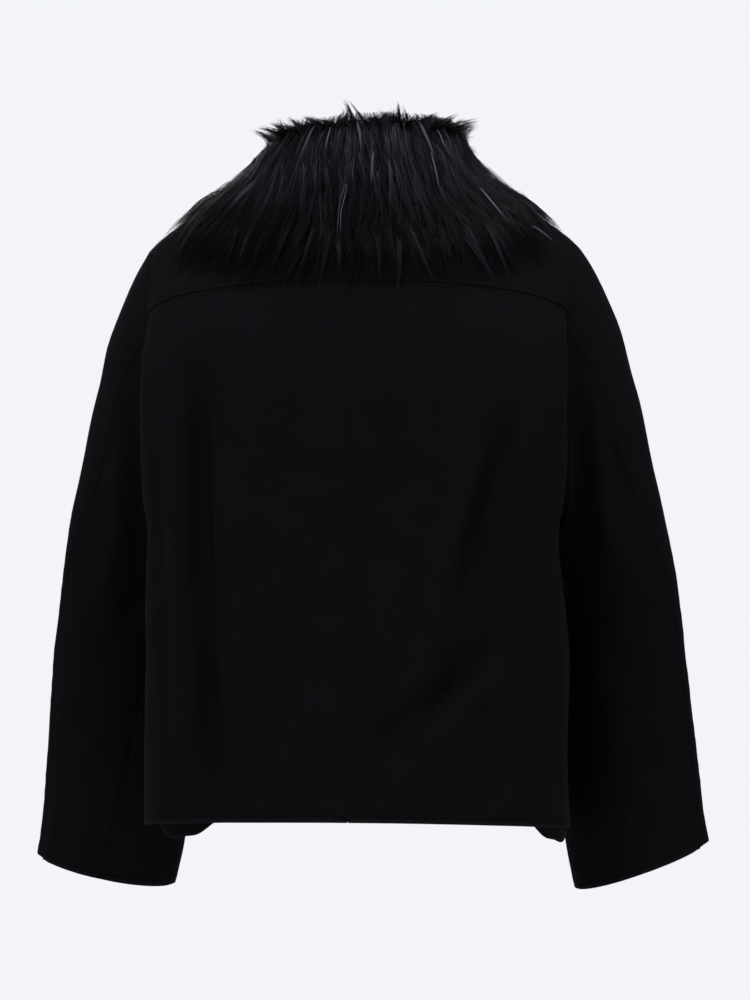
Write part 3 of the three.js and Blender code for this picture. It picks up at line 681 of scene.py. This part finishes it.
# %% Wool material
WOOL = {"free_line": 0.0055, "worn": 0.5, "nap": 0.35, "bump": 0.55, "bump_way": 0.0007}
SHEEN = {
    "Specular_IOR_Level": 0.04, "Sheen_Weight": 0.010, "Sheen_Roughness": 0.45,
    "Sheen_Tint": (0.8, 0.8, 0.9, 1),
}

def group_node(tree, group, **values):
    node = tree.nodes.new("ShaderNodeGroup")
    node.node_tree = group
    give(node, **values)
    return node

def attribute(tree, name):
    node = tree.nodes.new("ShaderNodeAttribute")
    node.attribute_name = name
    return node.outputs["Fac"]

def wool(name, fibre_scale, patch_scale, seam_way, seam_line):
    material = bpy.data.materials.new(name)
    material.use_nodes = True
    tree = material.node_tree
    shader = tree.nodes["Principled BSDF"]
    nap = group_node(tree, NAP, Fibre_Scale=fibre_scale, Patch_Scale=patch_scale)
    run = attribute(tree, "run_way")
    lines = []
    for way, offset in (("free_way", WOOL["free_line"]), (seam_way, seam_line)):
        felled = group_node(tree, FELLED, Offset=offset)
        tree.links.new(attribute(tree, way), felled.inputs["Way"])
        tree.links.new(run, felled.inputs["Run"])
        lines.append(felled)
    line = worked(tree, "MAXIMUM", lines[0].outputs["Line"], lines[1].outputs["Line"])
    worn = times(tree, lines[0].outputs["Worn"], WOOL["worn"])
    colour = mixed(tree, line, nap.outputs["Color"], WOOL_DEEP)
    colour = mixed(tree, worn, colour, WOOL_WORN)
    tree.links.new(colour, shader.inputs["Base Color"])
    tree.links.new(nap.outputs["Roughness"], shader.inputs["Roughness"])
    height = less(tree, times(tree, nap.outputs["Height"], WOOL["nap"]), line)
    bump = tree.nodes.new("ShaderNodeBump")
    give(bump, Strength=WOOL["bump"], Distance=WOOL["bump_way"])
    tree.links.new(height, bump.inputs["Height"])
    tree.links.new(bump.outputs["Normal"], shader.inputs["Normal"])
    give(shader, **SHEEN)
    return material

BODY_WOOL = wool("body wool", 520, 26, "lap_way", 0.0052)
SLEEVE_WOOL = wool("sleeve wool", 560, 30, "seam_way", 0.0046)
STAND_WOOL = wool("collar stand wool", 600, 34, "seam_way", 0.0060)
for node, skin in skins.items():
    finish = SLEEVE_WOOL if node in SLEEVE_PANELS else BODY_WOOL
    skin.data.materials.append(STAND_WOOL if node == "collar_stand" else finish)

# %% [markdown]
# The solid of each panel is hidden, and the panel of cloth is attached to the root.

for node, skin in skins.items():
    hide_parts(node)
    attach(skin, "root")

# %% [markdown]
# The fur is long hair on a thin pelt. The underside of the fur's solid is where the pelt lies, and
# the solid's outside is where the combed hair comes to lie. Hair is far too fine to place by hand, so
# one tapered hair is modelled and laid many times along ways worked out over that outside.

# %% Pelt and the surface that hair lies on
PELT = 0.0016
TOWARDS_BODY = -0.25
UP = Vector((0, 0, 1))
SOFTER = {"factor": 0.5, "iterations": 3}

def underside(piece):
    """Faces of the fur's solid that lie towards the neck and the shoulders."""
    found = set()
    for face in piece.data.polygons:
        out = Vector((face.center.x, face.center.y, 0)).normalized() + UP
        if face.normal.dot(out) < TOWARDS_BODY:
            found.add(face.index)
    return found

def soft_outside(under_faces):
    """Points of the fur's solid with its sharp locks softened, and the faces of its outside."""
    pile = copy_of("fur_collar", "pile")
    modify(pile, "SMOOTH", **SOFTER)
    places = points_of(pile.data)
    faces = [f for k, f in enumerate(faces_of(pile.data)) if k not in under_faces]
    bpy.data.objects.remove(pile)
    return places, faces

pelt = copy_of("fur_collar", "fur_pelt")
under_faces = underside(pelt)
pile_points, pile_faces = soft_outside(under_faces)
only(pelt)
keep_faces(pelt, under_faces)
switch_to("EDIT")
select_every()
bpy.ops.mesh.flip_normals()
switch_to("OBJECT")
pelt_tree = BVHTree.FromPolygons([v.co for v in pelt.data.vertices], faces_of(pelt.data))
pile_tree = BVHTree.FromPolygons([Vector(p) for p in pile_points], pile_faces)
cover = BVHTree.FromPolygons(
    [Vector(p) for p in np.concatenate([pile_points, wool_points])],
    pile_faces + [tuple(v + len(pile_points) for v in face) for face in wool_faces])
print("pelt faces", len(under_faces), "faces of the pile", len(pile_faces))

# %% [markdown]
# Hairs are rooted all over the pelt by chance, in numbers that follow its area. They are denser at
# the crown and thin out towards the lower edge, so that the collar ends in single strands.

# %% Where hairs are rooted
LOCKS = 5200
HAIRS = {"under": 22500, "guard": 13000}
BARE = {"edge": 0.012, "full": 0.064}
NECK_CLEAR = 0.085
CROWN = {"height": 0.028, "more": 1.1}

def triangles_of(mesh):
    mesh.calc_loop_triangles()
    return read_rows(mesh.loop_triangles, "vertices", int)

PELT_POINTS = points_of(pelt.data)
PELT_NORMALS = normals_of(pelt.data)
PELT_TRIANGLES = triangles_of(pelt.data)

def lower_rim():
    """Points of the pelt's open edge that are farthest out on the shoulders."""
    form = bmesh.new()
    form.from_mesh(pelt.data)
    places = [v.co.copy() for v in form.verts if v.is_boundary]
    form.free()
    return np.array([p for p in places if rim_trees["collar_stand"].find(p)[2] > NECK_CLEAR])

rim_tree = tree_of(lower_rim())

def way_to_rim(places):
    return np.array([rim_tree.find(p)[2] for p in places])

def scatter(count):
    """Roots on the pelt, fewer towards its lower edge, with the pelt's normal at each."""
    a, b, c = (PELT_POINTS[PELT_TRIANGLES[:, k]] for k in range(3))
    middles = (a + b + c) / 3
    share = np.linalg.norm(np.cross(b - a, c - a), axis=1)
    share = share * step_smoothly(way_to_rim(middles), BARE["edge"], BARE["full"])
    share = share * (1 + CROWN["more"] * step_smoothly(middles[:, 2], 0, CROWN["height"]))
    chosen = chance.choice(len(share), count, p=share / share.sum())
    u, v = chance.random((2, count))
    flip = u + v > 1
    u[flip], v[flip] = 1 - u[flip], 1 - v[flip]
    weights = np.stack([1 - u - v, u, v], 1)
    corners = PELT_TRIANGLES[chosen]
    roots = (PELT_POINTS[corners] * weights[..., None]).sum(1)
    normals = (PELT_NORMALS[corners] * weights[..., None]).sum(1)
    return roots, normals / np.linalg.norm(normals, axis=1)[:, None]

# %% [markdown]
# Each hair rises from the pelt to the outside of the pile and then lies along it, combed down and
# away from the neck, until it reaches the wool and lies loosely on that. A slow swirl keeps the
# hair from lying too evenly.

# %% The way of one hair
COMB = {"outward": 0.66, "swirl": 0.34, "swirl_size": 0.045}
RISE = {"share": 0.25, "power": 2.5, "clear": 0.0002, "reach": 0.06}
SHORT_RINGS, LONG_RINGS, LOCK_RINGS = 3, 5, 6
RING_PLACES = {
    SHORT_RINGS: (0, 0.12, 0.5, 1),
    LONG_RINGS: (0, 0.08, 0.22, 0.45, 0.72, 1),
    LOCK_RINGS: (0, 0.06, 0.16, 0.32, 0.52, 0.76, 1),
}
STEPS_A_RING = 2
ARCH = {"height": 0.0020, "from": 0.030, "full": 0.058, "shorter": 1.4}
ABOVE_PELT = 0.0012
ABOVE_WOOL = 0.0006
FLATTER_ON_WOOL = 0.3

def combed(place, normal, lean):
    outward = Vector((place.x, place.y, 0)).normalized()
    swirl = COMB["swirl"] * noise.noise(place / COMB["swirl_size"]) + lean
    way = COMB["outward"] * outward - UP + swirl * outward.cross(UP)
    return (way - normal * way.dot(normal)).normalized()

def above(root, normal):
    """The outside of the pile over a root."""
    found = pile_tree.ray_cast(root + normal * RISE["clear"], normal, RISE["reach"])[0]
    return found or root + normal * ABOVE_PELT

def hair_way(root, normal, length, depth, lean, rings):
    """Places of a hair's rings, followed step by step over the pile and on over the wool."""
    place = above(root, normal)
    rise = (place - root).length
    high = ARCH["height"] * min(max((root.z - ARCH["from"]) / (ARCH["full"] - ARCH["from"]), 0), 1)
    way = [root]
    shares = RING_PLACES[rings]
    place, facing, face, _ = cover.find_nearest(place)
    for last, share in zip(shares[:-1], shares[1:]):
        step = length * (share - last) / STEPS_A_RING
        for _ in range(STEPS_A_RING):
            place, facing, face, _ = cover.find_nearest(place + combed(place, facing, lean) * step)
        low = rise * max(0, 1 - share / RISE["share"]) ** RISE["power"] + depth
        low = min(low, pelt_tree.find_nearest(place)[3] - ABOVE_PELT)
        if face >= len(pile_faces):
            low = min(low * FLATTER_ON_WOOL, -ABOVE_WOOL)
        arch = math.sin(math.pi * min(share * ARCH["shorter"], 1))
        way.append(place - facing * low + UP * high * arch)
    return way

def hair_ways(roots, normals, lengths, depths, leans, rings):
    every = zip(roots, normals, lengths.tolist(), depths.tolist(), leans.tolist())
    return np.array([hair_way(Vector(r), Vector(n), s, d, a, rings) for r, n, s, d, a in every])

# %% [markdown]
# Long fur never lies hair by hair: neighbours cling together in locks. So the ways of the locks are
# laid first, each with its own length, depth, lean and share of pale colour, partly own tone and partly
# painted highlight, and the hairs then follow them.

# %% Locks
LOCK = {
    "length": 0.066, "spread": 0.012, "least": 0.036, "past_edge": 0.026, "depth": 0.0046,
    "few_deep": 1.5, "lean": 0.10, "few_pale": 2.2,
}
LONG_LOCKS = {"share": 0.55, "within": 0.112, "short_of_edge": 0.030}

def lock_lengths(roots):
    """Most locks end in the pile. Some of those rooted low reach the edge of the fur or past it."""
    wanted = LOCK["length"] + LOCK["spread"] * chance.standard_normal(len(roots))
    way = way_to_rim(roots) + LOCK["past_edge"]
    reach = way - LONG_LOCKS["short_of_edge"] * chance.random(len(roots))
    is_long = (chance.random(len(roots)) < LONG_LOCKS["share"]) & (way < LONG_LOCKS["within"])
    return np.clip(np.where(is_long, np.maximum(wanted, reach), wanted), LOCK["least"], way)

lock_roots, lock_normals = scatter(LOCKS)
lock_length = lock_lengths(lock_roots)
lock_depth = LOCK["depth"] * chance.random(LOCKS) ** LOCK["few_deep"]
lock_lean = LOCK["lean"] * chance.standard_normal(LOCKS)
# Painted highlight, partly own tone: each lock gets a share of pale colour, which gives light and dark
# streaks.
lock_tone_and_highlight = chance.random(LOCKS) ** LOCK["few_pale"]
lock_ways = hair_ways(lock_roots, lock_normals, lock_length, lock_depth, lock_lean, LOCK_RINGS)
lock_tree = tree_of(lock_roots)
print("locks", len(lock_ways), "mean length", round(float(lock_length.mean()), 3))

# %% [markdown]
# One hair is a three-sided cone cut into rings, a little thicker in its middle. It is modelled once
# and then carried along each way. Hairs of a lock draw together at their tips.

# %% One hair
def model_hair(name, rings):
    bpy.ops.object.select_all(action="DESELECT")
    bpy.ops.mesh.primitive_cone_add(vertices=3, radius1=1, radius2=0, depth=1, location=(0, 0, 0.5))
    hair = bpy.context.active_object
    hair.name = name
    bpy.ops.object.transform_apply(location=True, rotation=True, scale=True)
    switch_to("EDIT")
    for ring in range(1, rings):
        select_every()
        bpy.ops.mesh.bisect(plane_co=(0, 0, ring / rings), plane_no=(0, 0, 1))
    select_every()
    bpy.ops.mesh.quads_convert_to_tris()
    switch_to("OBJECT")
    shape = points_of(hair.data), triangles_of(hair.data)
    bpy.data.objects.remove(hair)
    return shape

SHORT_HAIR = model_hair("short hair", SHORT_RINGS)
LONG_HAIR = model_hair("long hair", LONG_RINGS)
print("faces in a hair", len(SHORT_HAIR[1]), len(LONG_HAIR[1]))

# %% Hairs as a mesh
PLUMP = 0.6
ASLANT = (0.31, 0.22, 0.92)
CHART_EDGE = 0.02

def along_ways(ways, share):
    """The point at a share of the way along each hair; the share may differ from hair to hair."""
    passed = np.array(RING_PLACES[ways.shape[1] - 1])
    k = np.clip(np.searchsorted(passed, share) - 1, 0, len(passed) - 2)
    row = np.arange(len(ways))
    between = ((share - passed[k]) / (passed[k + 1] - passed[k]))[:, None]
    return ways[row, k] * (1 - between) + ways[row, k + 1] * between

def unit(rows):
    return rows / np.maximum(np.linalg.norm(rows, axis=2), 1e-9)[..., None]

def hair_mesh(name, shape, ways, widths, tones_and_highlights):
    """One mesh of many hairs, with the way along each hair and its share of pale tone and painted
    highlight as attributes and chart.
    """
    template, triangles = shape
    rings = ways.shape[1] - 1
    level = np.rint(template[:, 2] * rings).astype(int)
    ahead = unit(np.gradient(ways, axis=1))
    side = unit(np.cross(ahead, ASLANT))
    top = np.cross(ahead, side)
    plump = 1 + PLUMP * np.sin(math.pi * template[:, 2])
    x, y = template[:, 0] * plump, template[:, 1] * plump
    places = (ways[:, level]
              + side[:, level] * (x * widths[:, None])[..., None]
              + top[:, level] * (y * widths[:, None])[..., None])
    count, corners = len(ways), len(template)
    faces = (triangles[None] + (np.arange(count) * corners)[:, None, None]).reshape(-1, 3)
    mesh = bpy.data.meshes.new(name)
    mesh.vertices.add(count * corners)
    mesh.vertices.foreach_set("co", places.ravel())
    mesh.loops.add(len(faces) * 3)
    mesh.loops.foreach_set("vertex_index", faces.ravel())
    mesh.polygons.add(len(faces))
    mesh.polygons.foreach_set("loop_start", np.arange(len(faces)) * 3)
    mesh.update(calc_edges=True)
    along, tone_and_highlight = np.tile(template[:, 2], count), np.repeat(tones_and_highlights, corners)
    write_attribute(mesh, "along", along)
    write_attribute(mesh, "tone_and_highlight", tone_and_highlight)
    chart = mesh.uv_layers.new(name="OFBake")
    flat = np.stack([tone_and_highlight[faces.ravel()], along[faces.ravel()]], 1)
    chart.data.foreach_set("uv", (CHART_EDGE + (1 - 2 * CHART_EDGE) * flat).ravel())
    piece = bpy.data.objects.new(name, mesh)
    show(piece)
    only(piece)
    bpy.ops.object.shade_smooth()
    return piece

def parts_of(roots):
    left, back = roots[:, 0] > 0, roots[:, 1] > 0
    return {"back_left": left & back, "back_right": ~left & back,
            "front_left": left & ~back, "front_right": ~left & ~back}

# %% [markdown]
# A pelt has two kinds of hair. The short undercoat fills the depth and hides the skin, and the long
# guard hairs over it gather in points. Light from above is painted into the hair: its pale highlight
# is weak on hair rooted low down and full towards the crown.

# %% Hairs of the pelt
# Painted light from above: hair rooted low keeps only the low share of its pale highlight.
PAINTED_LIGHT_FROM_ABOVE = {"low": 0.30, "from": -0.050, "full": 0.030}
STRAY = {"lean": 0.10, "place": 0.0007, "at_root": 0.4, "thin": 0.7, "thicker": 0.6, "few_pale": 3}
LOCK_SHARE_OF_TONE_AND_HIGHLIGHT = 0.65
GATHER_LATE = 1.2
KINDS = {
    "under": {
        "shape": SHORT_HAIR, "rings": SHORT_RINGS, "width": 0.00021,
        "least": 0.50, "gather": 0.25, "deeper": 0.0050},
    "guard": {
        "shape": LONG_HAIR, "rings": LONG_RINGS, "width": 0.00020,
        "least": 0.84, "gather": 0.68, "deeper": -0.0006},
}

def grow(kind):
    count, look = HAIRS[kind], KINDS[kind]
    rings = look["rings"]
    roots, normals = scatter(count)
    lock = np.array([lock_tree.find(root)[1] for root in roots])
    part = look["least"] + (1 - look["least"]) * chance.random(count)
    depths = lock_depth[lock] + look["deeper"] * chance.random(count)
    leans = lock_lean[lock] + STRAY["lean"] * chance.standard_normal(count)
    ways = hair_ways(roots, normals, lock_length[lock] * part, depths, leans, rings)
    for ring in range(1, rings + 1):
        share = RING_PLACES[rings][ring]
        led = along_ways(lock_ways[lock], share * part)
        ways[:, ring] += (led - ways[:, ring]) * look["gather"] * share ** GATHER_LATE
    astray = chance.normal(0, STRAY["place"], (count, rings, 3))
    ways[:, 1:] += astray * np.linspace(STRAY["at_root"], 1, rings)[:, None]
    widths = look["width"] * (STRAY["thin"] + STRAY["thicker"] * chance.random(count))
    own_tone_and_highlight = chance.random(count) ** STRAY["few_pale"]
    tones_and_highlights = np.clip(LOCK_SHARE_OF_TONE_AND_HIGHLIGHT * lock_tone_and_highlight[lock] + (1 - LOCK_SHARE_OF_TONE_AND_HIGHLIGHT) * own_tone_and_highlight, 0, 1)
    # Painted light from above: the pale highlight grows from the low share to full with the height of the
    # root.
    high = step_smoothly(roots[:, 2], PAINTED_LIGHT_FROM_ABOVE["from"], PAINTED_LIGHT_FROM_ABOVE["full"])
    tones_and_highlights = tones_and_highlights * (PAINTED_LIGHT_FROM_ABOVE["low"] + (1 - PAINTED_LIGHT_FROM_ABOVE["low"]) * high)
    return [hair_mesh(f"fur_{kind}_{word}", look["shape"], ways[chosen], widths[chosen], tones_and_highlights[chosen])
            for word, chosen in parts_of(roots).items()]

hair_pieces = grow("under") + grow("guard")
print("hair faces", {piece.name: len(piece.data.polygons) for piece in hair_pieces})

# %% [markdown]
# Along the top of the collar a few tufts stand up and outward, and some single strands lie loose on
# top of the rest, painted pale all along as highlight. Both follow rows of a short table, so that the
# tall ones stand where the real collar has them, and the front has others like them. Short tufts
# between them and dark strands past the lower edge are strewn by chance. Tufts and low strands get
# their own share of pale tone and painted highlight.

# %% Tufts and loose strands
TUFT_COLUMNS = ("x", "y", "aside", "rise", "length")
TUFTS = [dict(zip(TUFT_COLUMNS, row)) for row in [
    (0.084, 0.052, 1.0, 0.35, 0.020), (0.077, 0.064, 0.9, 0.60, 0.018),
    (0.062, 0.078, 0.6, 0.55, 0.016), (0.038, 0.088, 0.9, 0.45, 0.018),
    (0.016, 0.090, -0.4, 0.70, 0.014), (-0.002, 0.091, 0.5, 1.10, 0.022),
    (-0.030, 0.088, -0.5, 0.60, 0.014), (-0.050, 0.083, 0.3, 0.90, 0.017),
    (-0.072, 0.072, -0.6, 0.60, 0.017), (-0.088, 0.058, -0.9, 0.65, 0.020),
    (-0.098, 0.040, -1.3, 0.42, 0.026), (-0.096, 0.020, -1.0, 0.30, 0.018),
    (0.092, 0.010, 0.8, 0.50, 0.018), (0.080, -0.040, 0.8, 0.60, 0.018),
    (-0.080, -0.040, -0.8, 0.60, 0.018), (0.050, -0.078, 0.5, 0.60, 0.018),
    (-0.050, -0.078, -0.5, 0.60, 0.018),
]]
CROWN_EDGE = {"y": (-0.085, -0.040, 0.0, 0.040, 0.090), "z": (-0.030, 0.020, 0.044, 0.056, 0.061)}
STRAND_COLUMNS = ("x", "z", "length", "lean")
STRANDS = [dict(zip(STRAND_COLUMNS, row)) for row in [
    (0.006, -0.010, 0.066, 0.14), (-0.002, 0.052, 0.040, -0.20), (0.040, 0.050, 0.045, 0.10),
    (0.024, 0.046, 0.030, 0.05), (-0.062, 0.054, 0.050, -0.15), (-0.078, 0.046, 0.034, -0.10),
    (-0.074, 0.022, 0.050, 0.12), (0.100, 0.004, 0.060, 0.06), (-0.120, -0.012, 0.060, -0.06),
    (-0.172, -0.050, 0.034, -0.9), (-0.020, 0.020, 0.040, 0.20),
]]
TUFT = {
    "hairs": 60, "longer": 1.2, "tip": 1.15, "outward": 0.5, "width": 0.00030, "spread": 0.0042,
    "root_in": 0.004, "root_down": 0.006, "own_way": 0.30, "tip_spread": 0.0011, "least": 0.55,
    "bow_up": 0.002, "bow_out": 0.001, "tone_and_highlight": 0.08, "paler": 0.40,
}
STRAND = {"hairs": 4, "spread": 0.0006, "least": 0.8, "above": 0.0012, "width": 0.00026}
LOW_STRANDS = {
    "count": 96, "hairs": 14, "from": 0.024, "to": 0.060, "past_edge": 0.010, "farther": 0.034,
    "spread": 0.0021, "gather": 0.80, "least": 0.66, "lean": 0.22, "above": 0.0005,
    "width": 0.00024, "tone_and_highlight": 0.38,
}
SMALL_TUFTS = {
    "count": 84, "hairs": 33, "length": 0.005, "longer": 0.012, "half_width": 0.088,
    "half_depth": 0.085, "aside": 0.8, "rise": 0.05, "steeper": 0.60,
}

def small_tufts():
    """Short uneven tufts all round the top of the collar, as rows like those of the table."""
    look, count = SMALL_TUFTS, SMALL_TUFTS["count"]
    turns = 2 * math.pi * (np.arange(count) + chance.random(count)) / count
    return [{
        "x": look["half_width"] * math.sin(turn),
        "y": look["half_depth"] * math.cos(turn),
        "hairs": look["hairs"],
        "aside": look["aside"] * (float(chance.standard_normal()) + math.sin(turn)),
        "rise": look["rise"] + look["steeper"] * chance.random(),
        "length": look["length"] + look["longer"] * chance.random(),
    } for turn in turns]

def crown_height(y):
    """The collar's top edge is highest at the back and falls towards the front."""
    return float(np.interp(y, CROWN_EDGE["y"], CROWN_EDGE["z"]))

def tuft_ways(tuft):
    middle = Vector((tuft["x"], tuft["y"], crown_height(tuft["y"])))
    outward = Vector((tuft["x"], tuft["y"], 0)).normalized()
    heading = Vector((tuft["aside"], 0, 0)) + outward * TUFT["outward"] + UP * tuft["rise"]
    heading.normalize()
    tip = pile_tree.find_nearest(middle)[0] + heading * tuft["length"] * TUFT["tip"]
    bow = UP * TUFT["bow_up"] + outward * TUFT["bow_out"]
    shares = np.linspace(0, 1, SHORT_RINGS + 1)
    ways = []
    for _ in range(tuft["hairs"]):
        root = pile_tree.find_nearest(middle + Vector(chance.normal(0, TUFT["spread"], 3)))[0]
        root = root - outward * TUFT["root_in"] - UP * TUFT["root_down"]
        end = tip.lerp(root + heading * tuft["length"], TUFT["own_way"])
        end = end + Vector(chance.normal(0, TUFT["tip_spread"], 3))
        end = root.lerp(end, TUFT["least"] + (1 - TUFT["least"]) * chance.random())
        ways.append([root.lerp(end, s) + bow * math.sin(math.pi * s) for s in shares])
    return ways

BEHIND_ALL = 0.3

def strand_ways(strand):
    """Single hairs that lie loose over the back of the pile."""
    back = Vector((0, 1, 0))
    behind = Vector((strand["x"], BEHIND_ALL, strand["z"]))
    start = pile_tree.ray_cast(behind, -back, 2 * BEHIND_ALL)[0]
    ways = []
    for _ in range(STRAND["hairs"]):
        root = start + Vector(chance.normal(0, STRAND["spread"], 3))
        length = strand["length"] * (STRAND["least"] + (1 - STRAND["least"]) * chance.random())
        ways.append(hair_way(root, back, length, -STRAND["above"], strand["lean"], LONG_RINGS))
    return ways

def low_strands():
    """Pointed strands that hang past the edge of the fur, each a bundle about a middle hair."""
    look = LOW_STRANDS
    way = way_to_rim(lock_roots)
    rooted_low = np.flatnonzero((way > look["from"]) & (way < look["to"]))
    along = np.array(RING_PLACES[LONG_RINGS])
    apart = (1 - look["gather"] * along)[:, None]
    ways = []
    for k in chance.choice(rooted_low, look["count"], replace=False):
        root, normal = lock_roots[k], lock_normals[k]
        length = float(way[k]) + look["past_edge"] + look["farther"] * chance.random()
        lean = look["lean"] * float(chance.standard_normal())
        middle = np.array(hair_way(Vector(root), Vector(normal), length, 0.0, lean, LONG_RINGS))
        for _ in range(look["hairs"]):
            reach = look["least"] + (1 - look["least"]) * chance.random()
            own = np.stack([np.interp(along * reach, along, column) for column in middle.T], 1)
            offset = chance.normal(0, look["spread"], 3)
            offset = offset + normal * (look["above"] - offset @ normal)
            ways.append(own + offset * apart)
    return np.array(ways)

def add_hairs(name, shape, ways, width, tones_and_highlights):
    hair_pieces.append(hair_mesh(name, shape, ways, np.full(len(ways), width), tones_and_highlights))

all_tufts = [dict(tuft, hairs=TUFT["hairs"], length=tuft["length"] * TUFT["longer"]) for tuft in TUFTS]
all_tufts += small_tufts()
tufts = np.array([way for tuft in all_tufts for way in tuft_ways(tuft)])
# Partly painted highlight: each tuft gets its own share of the pale colour.
tuft_tones_and_highlights = np.concatenate([
    np.full(tuft["hairs"], TUFT["tone_and_highlight"] + TUFT["paler"] * chance.random()) for tuft in all_tufts])
add_hairs("fur_tufts", SHORT_HAIR, tufts, TUFT["width"], tuft_tones_and_highlights)
strands = np.array([way for strand in STRANDS for way in strand_ways(strand)])
# Painted highlight: the loose strands get the full pale colour.
add_hairs("fur_strands", LONG_HAIR, strands, STRAND["width"], np.ones(len(strands)))
low = low_strands()
# Partly painted highlight: each low strand gets a small share of the pale colour.
low_tones_and_highlights = np.repeat(LOW_STRANDS["tone_and_highlight"] * chance.random(LOW_STRANDS["count"]), LOW_STRANDS["hairs"])
add_hairs("fur_low_strands", LONG_HAIR, low, LOW_STRANDS["width"], low_tones_and_highlights)
print("tufts", len(all_tufts), "strands", len(STRANDS), "low strands", LOW_STRANDS["count"])

# %% [markdown]
# The hair is darkest at the root and a little less dark at the tip. A violet grey highlight is painted
# into the colour of single hairs and locks, partly their own paler tone, and it is painted weaker near
# the root. Both are read from the attributes that each hair carries, so the colour follows every hair
# and never slides over it.

# %% Hair material
HAIR_LOOK = {
    "pale_power": 2.2, "pale_at_root": 0.25, "roughness": 0.34, "rougher": 0.16, "specular": 0.13}
HAIR_ROOT = (0.0008, 0.0007, 0.0012)
HAIR_TIP = (0.0030, 0.0026, 0.0042)
# Painted highlight: the violet grey that a hair's share of pale tone and highlight mixes into its colour.
PAINTED_HAIR_HIGHLIGHT = (0.215, 0.184, 0.250)

def hair_colour():
    group, given, result = new_group(
        "hair colour", {"Along": 0.0, "Tint": 0.0},
        {"Color": "NodeSocketColor", "Roughness": "NodeSocketFloat"})
    colour = mixed(group, given["Along"], HAIR_ROOT, HAIR_TIP)
    # The painted highlight is weaker towards the root, where the pile shades the hair.
    light = worked(group, "POWER", given["Tint"], HAIR_LOOK["pale_power"])
    along = plus(group, given["Along"], HAIR_LOOK["pale_at_root"], clamp=True)
    light = times(group, light, along)
    group.links.new(mixed(group, light, colour, PAINTED_HAIR_HIGHLIGHT), result["Color"])
    rough = times(group, given["Tint"], HAIR_LOOK["rougher"])
    rough = plus(group, rough, HAIR_LOOK["roughness"])
    group.links.new(rough, result["Roughness"])
    return group

HAIR = hair_colour()

def fur(name):
    material = bpy.data.materials.new(name)
    material.use_nodes = True
    tree = material.node_tree
    shader = tree.nodes["Principled BSDF"]
    look = group_node(tree, HAIR)
    tree.links.new(attribute(tree, "along"), look.inputs["Along"])
    tree.links.new(attribute(tree, "tone_and_highlight"), look.inputs["Tint"])
    tree.links.new(look.outputs["Color"], shader.inputs["Base Color"])
    tree.links.new(look.outputs["Roughness"], shader.inputs["Roughness"])
    give(shader, Specular_IOR_Level=HAIR_LOOK["specular"])
    return material

FUR = fur("fur hair")
for piece in hair_pieces:
    piece.data.materials.append(FUR)
    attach(piece, "root")

# %% [markdown]
# The skin of the pelt only closes what little shows between the hairs. It is trimmed back from the
# edge of the fur and from the crown, where it would show as a smooth line, and gets its thickness.

# %% Finish the pelt
PELT_EDGE = 0.055
BELOW_CROWN = 0.008

def trim_pelt():
    """Leaves the pelt where it lies well inside the edge of the fur and below the crown."""
    for vertex in pelt.data.vertices:
        vertex.co.z = min(vertex.co.z, crown_height(vertex.co.y) - BELOW_CROWN)
    only(pelt)
    inside = [f.index for f in pelt.data.polygons if rim_tree.find(f.center)[2] > PELT_EDGE]
    keep_faces(pelt, inside)
    print("pelt faces", len(inside))

trim_pelt()
modify(pelt, "SOLIDIFY", thickness=PELT, offset=1)
for name in ("along", "tone_and_highlight"):
    write_attribute(pelt.data, name, np.zeros(len(pelt.data.vertices)))
pelt.data.materials.append(FUR)
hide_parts("fur_collar")
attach(pelt, "root")
